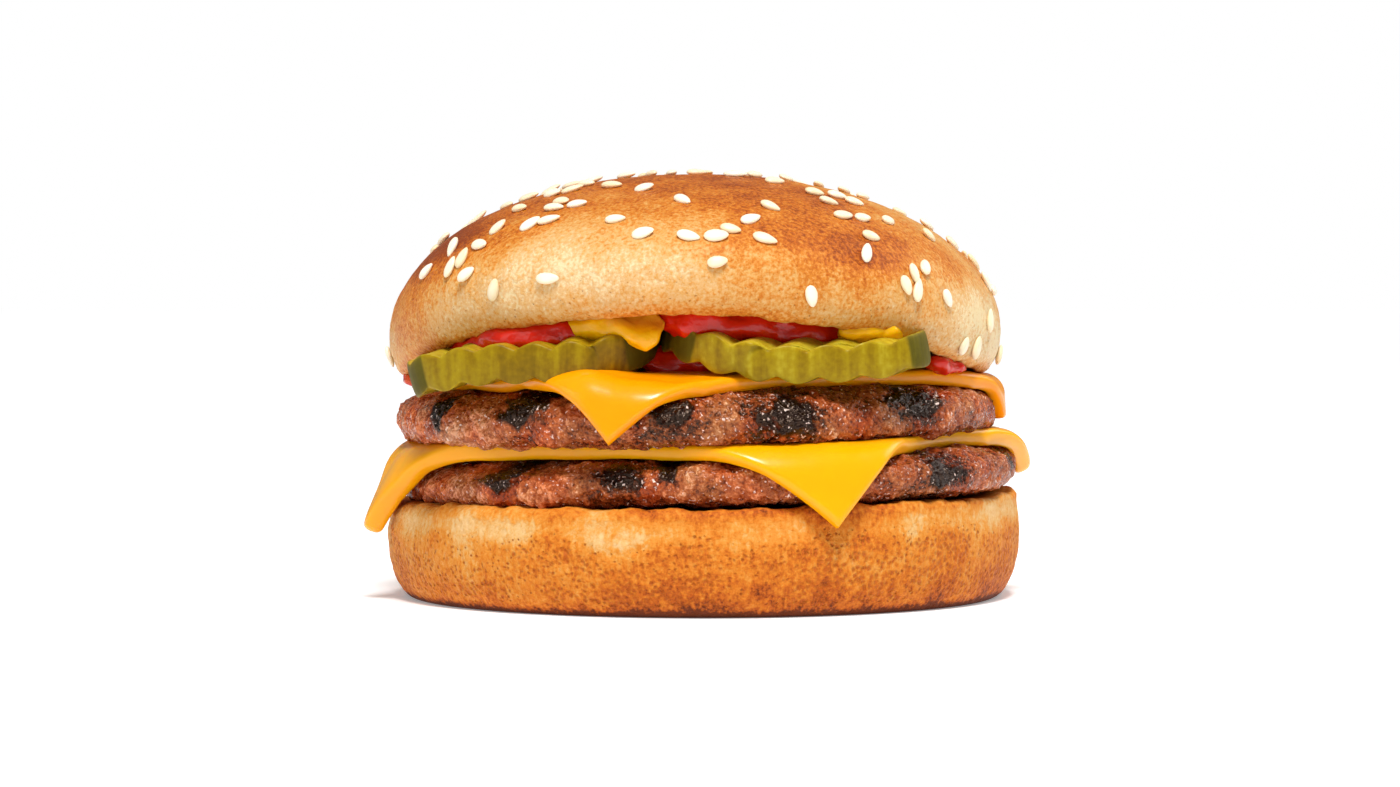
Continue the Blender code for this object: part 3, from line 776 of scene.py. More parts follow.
@dataclass
class Patty:
    """A thin, uneven disc of coarse beef with a full edge, marked where it lay on the grill's bars."""
    node: str
    half: float
    sag: float
    slope: float
    phase: float
    chars: tuple[tuple[float, float, float, float], ...]
    seed: int
    grow: float = 0.0
    shift: float = 0.0
    fuller: float = 0.0
    dip: float = 0.0
    flat_share: float = 0.8
    top_power: float = 11.0
    foot_power: float = 20.0
    roundness: float = 2.5
    tilt: float = 0.0
    sag_power: float = 6.0
    wobble: float = 0.008
    columns: int = 900
    flat_rows: int = 10
    edge_rows: int = 46

    def __post_init__(self) -> None:
        """Take the radius, the middle and the top from the solid."""
        low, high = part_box(self.node)
        self.radius = (high.x - low.x) / 2.0 + self.grow
        middle_x = (high.x + low.x) / 2.0 + self.shift
        self.centre = Vector((middle_x, (high.y + low.y) / 2.0, high.z - self.half))

    def profile(self) -> tuple[np.ndarray, np.ndarray]:
        """Section of the disc from the top's middle, round the edge, to the foot's middle.

        Returns:
            Shares of the radius and of the half height, with rows of even length round the edge.
        """
        angle = np.linspace(math.pi / 2.0, -math.pi / 2.0, 4001)
        power = np.where(angle > 0.0, self.top_power, self.foot_power)
        share = np.cos(angle) ** (2.0 / power)
        level = np.sign(angle) * np.abs(np.sin(angle)) ** (2.0 / self.roundness)
        steps = np.hypot(np.diff(share) * self.radius, np.diff(level) * self.half)
        steps *= np.where(share[1:] < self.flat_share, self.flat_rows / self.edge_rows * 0.35, 1.0)
        length = np.concatenate([[0.0], np.cumsum(steps)])
        even = np.linspace(0.0, length[-1], 2 * self.flat_rows + self.edge_rows)
        return np.interp(even, length, share)[:, None], np.interp(even, length, level)[:, None]

    def rings(self) -> np.ndarray:
        """Rings of the plain form.

        Returns:
            Points of (rows, columns, 3).
        """
        azimuth = full_turn(self.columns)[None, :]
        share, level = self.profile()
        waves = (np.sin(2.0 * azimuth + self.phase) + np.sin(3.0 * azimuth - 2.0 * self.phase)
                 + 0.6 * np.sin(7.0 * azimuth + 3.0 * self.phase))
        reach = self.radius * share * (1.0 + self.wobble * waves * share)
        lean = np.where(level > 0.0, 1.0 - self.slope * share * np.abs(np.sin(azimuth)), 1.0)
        step_x, step_y = heading(azimuth)
        lean = lean * (1.0 + self.fuller * share * step_x)
        height = (self.centre.z - self.sag * share ** self.sag_power + self.half * lean * level
                  + self.tilt * share * step_x - self.dip * share ** 2 * np.maximum(-step_x, 0.0) ** 2)
        return np.stack([self.centre.x + reach * step_x, self.centre.y + reach * step_y, height], -1)

    def build(self) -> None:
        """Model the patty and put it in the scene."""
        rings = self.rings()
        normals = outward(rings)
        flat = self.rings()
        azimuth = np.degrees(np.arctan2(flat[..., 0] - self.centre.x, self.centre.y - flat[..., 1]))
        level = (flat[..., 2] - self.centre.z) / self.half
        char = np.zeros_like(azimuth)
        torn = 0.4 * grain(rings, 3.0 * MM, 3, seed=self.seed + 9)
        halo = np.zeros_like(azimuth)
        for middle, up, width, tall in self.chars:
            away = (azimuth - middle + 180.0) % 360.0 - 180.0
            off = np.hypot(away / width, (level - up) / tall) + torn
            char = np.maximum(char, 1.0 - ramp(off, 0.45, 1.0))
            halo = np.maximum(halo, 1.0 - ramp(off, 0.8, 1.5))

        warp = np.stack([grain(rings, 2.5 * MM, 2, seed=self.seed + turn) for turn in (6, 7, 8)], -1)
        bent_places = rings + 1.3 * MM * warp
        near, after = clumps(bent_places, 3.4 * MM, seed=self.seed)
        lump_wide = ramp(after - near, 0.0, 0.35)
        near, after = clumps(bent_places, 1.5 * MM, seed=self.seed + 1)
        lump_small = ramp(after - near, 0.0, 0.4)
        rough = grain(rings, 1.2 * MM, 3, seed=self.seed + 2)
        bulk = grain(rings, 6.0 * MM, 3, seed=self.seed + 3)
        blistered = 1.0 + 0.2 * char
        relief = (0.18 * (lump_wide - 0.7) + 0.16 * (lump_small - 0.7) * blistered
                  + 0.24 * rough * blistered + 0.55 * bulk - 0.15 * char)
        ragged = grain(rings, 2.4 * MM, 3, seed=self.seed + 4) * np.clip(np.abs(level), 0.0, 1.0) ** 2
        far = np.hypot(flat[..., 0] - self.centre.x, flat[..., 1] - self.centre.y)
        edge = ramp(far / self.radius, 0.7, 0.9)
        relief = edge * (relief + 0.5 * ragged) + (1.0 - edge) * 0.1 * rough
        rings = rings + normals * (relief * MM)[..., None]

        # Painted light: the left side is made lighter and redder, as if more light fell there.
        leftness = ramp(-np.sin(np.radians(azimuth)), 0.2, 0.75)
        # The tone also sinks the creases and lifts the crests: painted shade and painted light.
        lump = (0.56 + 0.3 * leftness + 0.2 * bulk + 0.26 * rough + 0.1 * (lump_wide - 0.8)
                + 0.25 * (lump_small - 0.8) - 0.3 * halo
                - 0.15 * ramp(-level, 0.5, 1.0) - 0.15 * ramp(level, 0.7, 1.0))
        sear = np.clip(0.42 + 0.35 * leftness + 0.8 * grain(rings, 6.0 * MM, 2, seed=self.seed + 5), 0.0, 1.0)
        mesh = closed_mesh(self.node + "_beef", rings, {"lump": lump, "char": char, "sear": sear})
        serve(self.node + "_beef", mesh, BEEF.material(), self.node)


# --- Plates: cheese and pickle --------------------------------------------------------------------

@dataclass
class Plate:
    """A bent plate with rounded edges. Its rings run over the top to the outline and back underneath."""
    columns: int = 520
    inner_rows: int = 10
    outer_rows: int = 26
    edge_rows: int = 9
    back_rows: int = 14
    inner_share: float = 0.6
    step: float = 0.002

    def outline(self) -> np.ndarray:
        """Points round a square of side 2, from the middle of its front edge towards +X."""
        turn = full_turn(self.columns)
        step_x, step_y = heading(turn)
        longest = np.maximum(np.abs(step_x), np.abs(step_y))
        return np.stack([step_x / longest, step_y / longest], -1)

    def facing(self, share: np.ndarray) -> tuple[np.ndarray, np.ndarray, np.ndarray]:
        """Where the middle surface lies and faces for each ring.

        Args:
            share: each ring's share of the outline.

        Returns:
            The places, the unit normals, and the shares of the half width and half depth.
        """
        square = self.outline()
        u, v = share * square[:, 0], share * square[:, 1]
        across = self.middle(u + self.step, v) - self.middle(u - self.step, v)
        along = self.middle(u, v + self.step) - self.middle(u, v - self.step)
        normal = np.cross(across, along)
        normal /= np.linalg.norm(normal, axis=-1, keepdims=True)
        return self.middle(u, v), normal, np.stack([u, v])

    def rows(self, rounding: float) -> tuple[np.ndarray, np.ndarray]:
        """Share of the outline and side of the plate for each ring.

        Args:
            rounding: the edge's depth as a share of the outline's half width.

        Returns:
            The share, from 0 to 1, and the side, from 1 on top to -1 below.
        """
        flat = 1.0 - rounding
        inner = np.linspace(0.0, self.inner_share, self.inner_rows, endpoint=False)
        outer = np.linspace(self.inner_share, flat, self.outer_rows)
        turn = np.linspace(math.pi / 2.0, -math.pi / 2.0, self.edge_rows + 2)[1:-1]
        back = np.linspace(flat, 0.0, self.back_rows)
        share = np.concatenate([inner, outer, flat + rounding * np.cos(turn) ** 0.7, back])
        side = np.concatenate([np.ones(len(inner) + len(outer)), np.sign(turn) * np.abs(np.sin(turn)) ** 0.8,
                               -np.ones(len(back))])
        return share[:, None], side[:, None]


@dataclass
class CheeseSlice(Plate):
    """A square slice that has melted onto its patty, with its four corners hanging over the edge."""
    node: str = ""
    patty: str = ""
    side: float = 86.0 * MM
    turn: float = 0.0
    x: float = 0.0
    y: float = 0.0
    sag: float = 1.0 * MM
    tilt: float = 0.0
    rise: float = 0.0
    rise_turn: float = 0.0
    hang: tuple[float, ...] = (60.0, 60.0, 60.0, 60.0)
    bend: tuple[float, ...] = (5.0 * MM,) * 4
    twist: tuple[float, ...] = (0.0, 0.0, 0.0, 0.0)
    swing: tuple[float, ...] = (0.0, 0.0, 0.0, 0.0)
    gather: tuple[float, ...] = (1.0, 1.0, 1.0, 1.0)
    tuck: tuple[float, ...] = (0.0, 0.0, 0.0, 0.0)
    bead: tuple[float, ...] = (0.12, 0.12, 0.12, 0.12)
    seed: int = 0
    look: ProcessedCheese = CHEDDAR
    swell: float = 0.03
    thickness: float = 2.1 * MM
    fold_radius: float = 45.4 * MM
    sag_power: float = 6.0
    columns: int = 640
    outer_rows: int = 34

    def __post_init__(self) -> None:
        """Take the height from the solid and the fold's middle from the patty."""
        low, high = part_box(self.patty)
        self.fold_x = (low.x + high.x) / 2.0
        self.fold_y = (low.y + high.y) / 2.0
        self.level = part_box(self.node)[1].z - self.thickness / 2.0

    def lie(self, x: np.ndarray, y: np.ndarray) -> np.ndarray:
        """Height of the slice's middle surface where it lies on its patty."""
        x, y = x - self.fold_x, y - self.fold_y
        far = np.minimum(np.hypot(x, y) / self.fold_radius, 1.0)
        return self.level - self.sag * far ** self.sag_power + self.tilt * x / self.fold_radius

    def middle(self, u: np.ndarray, v: np.ndarray) -> np.ndarray:
        """Place of the middle surface.

        Args:
            u: share of the half width, in the slice's own directions.
            v: share of the half depth.

        Returns:
            Points with X, Y and Z as the last axis.
        """
        half = self.side / 2.0
        x = u * half * (1.0 + self.swell * (1.0 - v * v) ** 2)
        y = v * half * (1.0 + self.swell * (1.0 - u * u) ** 2)
        turn = math.radians(self.turn - 45.0)
        x, y = x * math.cos(turn) - y * math.sin(turn), x * math.sin(turn) + y * math.cos(turn)
        x, y = x + self.x, y + self.y
        azimuth = np.arctan2(x, -y)
        slip = np.zeros_like(azimuth)
        for corner in range(4):
            near = np.cos(azimuth - math.radians(self.turn + 90.0 * corner))
            slip += math.radians(self.twist[corner]) * np.maximum(near, 0.0) ** 2
        x, y = x * np.cos(slip) - y * np.sin(slip), x * np.sin(slip) + y * np.cos(slip)
        away = np.degrees(np.arctan2(x, -y)) - self.rise_turn
        pushed = hump(away, 0.0, 23.0) * ramp(np.hypot(x, y), 36.0 * MM, 44.0 * MM)
        z = self.lie(x, y) + self.rise * pushed * (1.0 + 0.25 * np.sin(np.radians(22.0 * away)))
        shift_x, shift_y = np.zeros_like(x), np.zeros_like(y)
        from_x, from_y = x - self.fold_x, y - self.fold_y
        for corner in range(4):
            own = self.turn + 90.0 * corner + self.twist[corner]
            own_x, own_y = heading(math.radians(own))
            mine = from_x * own_x + from_y * own_y > 0.9 * np.abs(from_y * own_x - from_x * own_y)
            out_x, out_y = heading(math.radians(own + self.swing[corner]))
            out = from_x * out_x + from_y * out_y
            aside = from_y * out_x - from_x * out_y
            fold = np.sqrt(np.maximum(self.fold_radius ** 2 - aside ** 2, 0.0))
            overhang = np.where(mine & (out > fold), out - fold, 0.0)
            behind = (from_y * own_x - from_x * own_y) * math.copysign(1.0, own_x)
            kept = self.gather[corner] * (1.0 - self.tuck[corner] * ramp(behind, 0.0, 11.0 * MM))
            reach, drop = bent(overhang * kept, self.bend[corner], self.hang[corner])
            shift_x += (reach - overhang) * out_x
            shift_y += (reach - overhang) * out_y
            z = z - drop
        x, y = x + shift_x, y + shift_y
        return np.stack([x, y, z], -1)

    def build(self) -> None:
        """Model the slice and put it in the scene."""
        share, side = self.rows(0.5 * self.thickness / (self.side / 2.0))
        middle, normal, _ = self.facing(share)
        wave = (0.4 * grain(middle, 13.0 * MM, 2, seed=self.seed, stretch=(1.0, 1.0, 2.0))
                + 0.1 * grain(middle, 4.0 * MM, 2, seed=self.seed + 1))
        far = ramp(share, 0.62, 0.95)
        azimuth = np.arctan2(middle[..., 0], -middle[..., 1])
        swollen = 0.0
        for corner in range(4):
            own = math.radians(self.turn + 90.0 * corner + self.twist[corner])
            swollen = swollen + self.bead[corner] * np.maximum(np.cos(azimuth - own), 0.0) ** 2
        bead = 1.0 + swollen * ramp(share, 0.8, 0.97)
        rings = middle + normal * (0.5 * self.thickness * side * bead + far * wave * MM)[..., None]
        mesh = closed_mesh(self.node + "_slice", rings, {})
        serve(self.node + "_slice", mesh, self.look.material(), self.node)


@dataclass
class PickleChip(Plate):
    """A crinkle-cut chip with ridges on both faces, lying on the upper slice."""
    node: str = ""
    x: float = 0.0
    y: float = 0.0
    half_width: float = 18.0 * MM
    half_depth: float = 18.0 * MM
    turn: float = 0.0
    ridge_turn: float = 16.0
    lift: float = 0.0
    left_lift: float = 0.0
    right_lift: float = 0.0
    back_lift: float = 0.5 * MM
    thickness: float = 4.4 * MM
    edge_round: float = 0.45 * MM
    pitch: float = 5.4 * MM
    crinkle: float = 0.48 * MM
    phase: float = 0.0
    offset: float = 0.0
    ridge_power: float = 1.2
    squareness: float = 3.2
    # Flesh tone at the chip's left and right ends; a lower value at one end is painted shade.
    fresh: tuple[float, float] = (0.6, 0.3)
    seed: int = 0
    columns: int = 560
    outer_rows: int = 22
    edge_rows: int = 16
    back_rows: int = 12

    def middle(self, u: np.ndarray, v: np.ndarray) -> np.ndarray:
        """Place of the middle surface, whose outline is rounder than a square.

        Known fault: where both shares are 0 the bulge is infinite and that place isn't a number. So the
        middle point of each face is broken, and an export writes it at the world's origin.

        Args:
            u: share of the half width.
            v: share of the half depth.

        Returns:
            Points with X, Y and Z as the last axis.
        """
        share = np.maximum(np.abs(u), np.abs(v))
        far = np.maximum(np.hypot(u, v), 1e-9)
        powers = np.abs(u / far) ** self.squareness + np.abs(v / far) ** self.squareness
        bulge = powers ** (-1.0 / self.squareness)
        side, back = share * bulge * u / far, share * bulge * v / far
        wide, deep = side * self.half_width, back * self.half_depth
        turn = math.radians(self.turn)
        x = self.x + wide * math.cos(turn) - deep * math.sin(turn)
        y = self.y + wide * math.sin(turn) + deep * math.cos(turn)
        seat = UPPER_SLICE.lie(x, y) + UPPER_SLICE.thickness / 2.0 + 0.5 * self.thickness
        seat = seat + self.lift + self.left_lift * np.maximum(-side, 0.0) ** 2
        seat = seat + self.right_lift * np.maximum(side, 0.0) ** 2 + self.back_lift * (back + 1.0)
        return np.stack([x, y, seat], -1)

    def build(self) -> None:
        """Model the chip and put it in the scene."""
        share, side = self.rows(self.edge_round / self.half_width)
        middle, normal, (u, _) = self.facing(share)
        ridge = math.radians(self.ridge_turn)
        off_x, off_y = middle[..., 0] - self.x, middle[..., 1] - self.y
        across_ridges = off_x * math.cos(ridge) - off_y * math.sin(ridge)
        phase = math.pi * across_ridges / self.pitch + self.phase
        over = 2.0 * np.abs(np.cos(phase)) ** self.ridge_power - 1.0
        under = 1.0 - 2.0 * np.abs(np.sin(phase + self.offset)) ** self.ridge_power
        wave = 0.5 * (1.0 + side) * over + 0.5 * (1.0 - side) * under
        uneven = 0.15 * MM * grain(middle, 6.0 * MM, 2, seed=self.seed)
        rings = middle + normal * (side * 0.5 * self.thickness + self.crinkle * wave + uneven)[..., None]
        rim = ramp(share, 0.965, 0.995) * np.ones_like(u)
        ends = ramp(np.abs(u) * share, 0.94, 1.0)
        skin = 0.7 * rim * ends + 0.1 * rim
        # Painted shade: the flesh runs darker towards one end, as on the left chip's right end under the
        # crown.
        fresh = self.fresh[0] + (self.fresh[1] - self.fresh[0]) * (u + 1.0) / 2.0
        fresh = fresh + 0.3 * (1.0 - rim) * (side > 0.0)
        mesh = closed_mesh(self.node + "_chip", rings, {"skin": skin, "fresh": fresh})
        serve(self.node + "_chip", mesh, CUCUMBER.material(), self.node)


LOWER_SLICE = CheeseSlice(
    node="cheese_lower", patty="patty_lower", side=86.0 * MM, turn=20.2, x=0.0, y=1.2 * MM, sag=0.6 * MM,
    tilt=0.9 * MM, hang=(80.0, 66.0, 64.0, 68.0), bend=(4.5 * MM, 4.2 * MM, 5.0 * MM, 4.6 * MM),
    twist=(0.0, -17.0, 0.0, -6.0), swing=(-10.0, -4.0, 0.0, 2.0), gather=(1.02, 0.62, 1.0, 1.08),
    tuck=(0.0, 0.8, 0.0, 0.9), bead=(0.12, 0.25, 0.12, 0.55), seed=31)
UPPER_SLICE = CheeseSlice(
    node="cheese_upper", patty="patty_upper", side=82.0 * MM, turn=-13.4, x=-1.6 * MM, y=1.2 * MM,
    sag=2.0 * MM, tilt=0.5 * MM, rise=1.7 * MM, rise_turn=-25.0, hang=(76.0, 86.0, 62.0, 84.0),
    bend=(4.0 * MM, 2.2 * MM, 5.0 * MM, 3.0 * MM), twist=(0.0, 8.0, 0.0, -14.0),
    swing=(0.0, 6.0, 0.0, -12.0), gather=(1.05, 0.66, 1.0, 0.3), tuck=(0.0, 0.6, 0.0, 0.0), seed=35,
    look=SHADED_CHEDDAR)
LEFT_CHIP = PickleChip(
    node="pickle_left", x=-24.9 * MM, y=-25.8 * MM, half_width=19.0 * MM, half_depth=18.2 * MM, turn=-6.0,
    ridge_turn=8.0, lift=0.5 * MM, left_lift=-2.6 * MM, right_lift=1.0 * MM, squareness=3.2,
    thickness=5.1 * MM, pitch=5.57 * MM, phase=1.82, fresh=(0.62, 0.28), seed=45)
RIGHT_CHIP = PickleChip(
    node="pickle_right", x=13.8 * MM, y=-27.2 * MM, half_width=20.0 * MM, half_depth=18.4 * MM, turn=3.0,
    ridge_turn=20.0, lift=0.1 * MM, left_lift=3.0 * MM, right_lift=2.0 * MM, squareness=3.4,
    thickness=4.7 * MM, pitch=5.5 * MM, phase=0.41, offset=0.74, fresh=(0.62, 0.6), seed=46)


# --- Sauces ---------------------------------------------------------------------------------------

@dataclass
class SauceDrop:
    """A squeezed drop of sauce: a flattened, uneven ball between what lies under it and over it."""
    node: str
    slot: Slot
    azimuth: float
    reach: float
    half: tuple[float, float, float]
    height: float
    tilt: float = 0.0
    seed: int = 0
    mixed_from: float = 2.0
    drip: float = 0.0
    wobble: float = 0.10
    columns: int = 96
    rows: int = 48

    def build(self) -> None:
        """Model the drop and put it in the scene."""
        around = full_turn(self.columns)[None, :]
        down = np.linspace(0.0, math.pi, self.rows)[:, None]
        flat_x, flat_y = heading(around)
        across = np.sin(down) ** 0.9
        wide = across * flat_x * self.half[0] * (1.0 + self.wobble * np.sin(3.0 * around + self.seed))
        deep = -across * flat_y * self.half[1] * (1.0 + self.wobble * np.sin(2.0 * around + 2.0 * self.seed))
        up = np.sign(np.cos(down)) * np.abs(np.cos(down)) ** 0.8 * self.half[2] + 0.0 * around
        out_x, out_y = heading(math.radians(self.azimuth))
        run = hump(wide / self.half[0], 0.85, 0.5) * ramp(deep / self.half[1], 0.0, 0.4)
        up = up - self.drip * run
        far = self.reach + deep + 0.4 * self.drip * run
        rings = np.stack([far * out_x - wide * out_y, far * out_y + wide * out_x,
                          self.height + up - wide * math.tan(math.radians(self.tilt))], -1)
        normals = outward(rings)
        ripple = 1.0 * grain(rings, 6.0 * MM, 2, seed=50 + self.seed)
        ripple += 0.4 * grain(rings, 2.4 * MM, 2, seed=60 + self.seed)
        rings = rings + normals * (ripple * MM)[..., None]
        patchy = 0.8 * grain(rings, 6.0 * MM, 2, seed=70 + self.seed)
        # Painted shade in part: over the top and one end the sauce turns to its second colour, from mixing
        # with the other sauce and, on the mustard, for the shade under the crown's lip.
        thinness = up / self.half[2] + wide / self.half[0] + patchy
        blend = ramp(thinness, self.mixed_from - 0.35, self.mixed_from + 0.35)
        look = KETCHUP if self.slot is Slot.KETCHUP else MUSTARD
        mesh = closed_mesh(self.node + "_sauce", rings, {"mixed": blend})
        serve(self.node + "_sauce", mesh, look.material(), self.node)


# --- Seeds ----------------------------------------------------------------------------------------

@dataclass
class SesameSeeds:
    """Seeds stuck on the crown: those in front lie where they were placed, the others are strewn."""
    length: float = 3.5 * MM
    width: float = 2.2 * MM
    depth: float = 1.15 * MM
    sunk: float = 0.1 * MM
    tip: float = 0.22
    strewn: int = 84
    spacing: float = 4.2 * MM
    seed: int = 7
    columns: int = 14
    rows: int = 11
    # Across and up on the crown's front, in millimetres, and the turn of the long axis, in degrees.
    placed: tuple[tuple[float, float, float], ...] = (
        (-42, 51, 45), (-40.5, 56, 40), (-38, 54.5, -75), (-38, 51.5, 90), (-36, 53, 80), (-35.5, 50.5, 35),
        (-33.5, 55, 0), (-31, 57.5, 75), (-31, 48.5, 65), (-23, 50, 0), (-26, 58, 60), (-23, 58.5, 30),
        (-31, 61.5, 25), (-28, 60.5, 10), (-27, 62.5, 40), (-22.5, 60.5, 0), (-23, 63, 15), (-21.5, 61.5, -5),
        (-20, 63.5, 60), (-19, 61, 20), (-18, 64.5, 5), (-14, 64, 0), (-13, 58.5, 10), (-9, 56.5, 20),
        (-9, 63.5, 40), (-12, 66, 45), (-8, 66.4, 5), (-5, 66.5, 10), (-1, 66.5, 0), (-3, 61.5, -35),
        (-2, 56, -15), (2, 52.2, 10), (2, 56, 5), (4, 57, -15), (7, 58.5, 20), (10, 60.5, -45),
        (9, 55.5, -25), (16, 47.2, -80), (5, 66, -5), (8, 66, -5), (11, 64.8, -5), (13, 65.6, -20),
        (17, 63, -20),
        (19, 61.5, -45), (20.5, 62.5, -25), (21, 59.2, 0), (23, 61.5, -35), (24, 59, 0), (25, 62.7, -30),
        (28, 58.5, 0), (25, 56, -20), (24, 53.5, 60), (33, 51.5, 50), (31.5, 50.5, -85), (30, 48.8, -75),
        (32, 48.2, 70), (36.5, 47, -55), (35, 58.5, -35), (34.5, 56.5, -45), (39, 55.5, -40), (44, 49.5, -65),
        (44, 43.5, 90), (39.5, 39.8, 90), (41.8, 39.4, 85), (46.6, 38, 80), (-49.4, 38, 75))

    def shape(self, rng: np.random.Generator) -> np.ndarray:
        """One seed at the origin, flat side down, long axis along X and pointed at its +X end.

        Args:
            rng: gives the seed its own proportions.

        Returns:
            Rings of points.
        """
        around = full_turn(self.columns)[None, :]
        down = np.linspace(0.0, math.pi, self.rows)[:, None]
        x = np.sin(down) * np.cos(around)
        y = np.sin(down) * np.sin(around)
        z = np.cos(down) + 0.0 * around
        size = rng.uniform(0.88, 1.12)
        taper = rng.uniform(0.25, 0.5)
        narrow = 1.0 - taper * (0.5 + 0.5 * x) ** 1.6
        dimple = 1.0 - rng.uniform(0.0, 0.25) * hump(np.hypot(x, y), 0.15, 0.5)
        broad = y * narrow * self.width / 2.0 * rng.uniform(0.85, 1.12)
        thick = z * dimple * self.depth / 2.0 * (1.0 - 0.3 * (0.5 + 0.5 * x) ** 2)
        return np.stack([x * self.length / 2.0 * size, broad, thick], -1)

    def spots(self, skin: np.ndarray, rng: np.random.Generator) -> list[tuple[int, int, float]]:
        """Choose the crown's points that seeds lie on.

        Args:
            skin: rings of the crown's dome and lip.
            rng: strews the seeds that aren't placed.

        Returns:
            Row, column and turn, in degrees, of each seed.
        """
        chosen = []
        front = np.where(skin[..., 1] < 0.0, 0.0, 1.0)
        for across, up, turn in self.placed:
            miss = np.hypot(skin[..., 0] - across * MM, skin[..., 2] - up * MM) + front
            row, place_in_row = np.unravel_index(np.argmin(miss), miss.shape)
            chosen.append((int(row), int(place_in_row), turn))
        places = [skin[row, place_in_row] for row, place_in_row, _ in chosen]
        area = np.linalg.norm(np.cross(np.gradient(skin, axis=0), np.gradient(skin, axis=1)), axis=-1)
        area *= ramp(skin[..., 1], -6.0 * MM, 0.0) * ramp(skin[..., 2], 42.0 * MM, 52.0 * MM)
        share = (area / area.sum()).ravel()
        for pick in rng.choice(share.size, 600, replace=False, p=share):
            row, place_in_row = np.unravel_index(pick, area.shape)
            gap = min(np.linalg.norm(skin[row, place_in_row] - place) for place in places)
            if gap > self.spacing * rng.uniform(0.45, 1.6) and len(chosen) < len(self.placed) + self.strewn:
                chosen.append((int(row), int(place_in_row), rng.uniform(-90.0, 90.0)))
                places.append(skin[row, place_in_row])
        return chosen

    def build(self, skin: np.ndarray) -> None:
        """Model the seeds as one piece and put it in the scene.

        Args:
            skin: rings of the crown's dome and lip.
        """
        rng = np.random.default_rng(self.seed)
        normals = outward(skin)
        meshes = []
        for row, place_in_row, turn in self.spots(skin, rng):
            outward_step = Vector((skin[row, place_in_row][0], skin[row, place_in_row][1], 0.0)).normalized()
            unevenness = Vector(rng.uniform(-0.14, 0.14, 3))
            up = Vector(normals[row, place_in_row]) + self.tip * outward_step + unevenness
            up.normalize()
            level = Vector((-up.y, up.x, 0.0)) if abs(up.z) < 0.999 else Vector((1.0, 0.0, 0.0))
            level.normalize()
            if level.x < 0.0:
                level.negate()
            climb = up.cross(level)
            angle = math.radians(turn)
            long_axis = level * math.cos(angle) + climb * math.sin(angle)
            cross_axis = up.cross(long_axis)
            axes = np.array([long_axis, cross_axis, up])
            lifted = np.array(up) * (0.42 * self.depth - self.sunk)
            rings = self.shape(rng) @ axes + skin[row, place_in_row] + lifted
            shade = np.full(rings.shape[:2], rng.uniform(0.35, 1.0))
            # Painted shade: each seed is darker round its rim.
            shade -= 0.25 * ramp(np.abs(np.linspace(-1.0, 1.0, self.rows)), 0.9, 0.2)[:, None]
            meshes.append(closed_mesh("seed", rings, {"shade": shade}))
        pieces = [bpy.data.objects.new("seed", mesh) for mesh in meshes]
        for piece in pieces:
            bpy.context.scene.collection.objects.link(piece)
        with bpy.context.temp_override(active_object=pieces[0], selected_editable_objects=pieces):
            bpy.ops.object.join()
        mesh = pieces[0].data
        bpy.data.objects.remove(pieces[0])
        mesh.name = "sesame_seeds"
        serve("sesame_seeds", mesh, SESAME.material())


# --- Studio ---------------------------------------------------------------------------------------

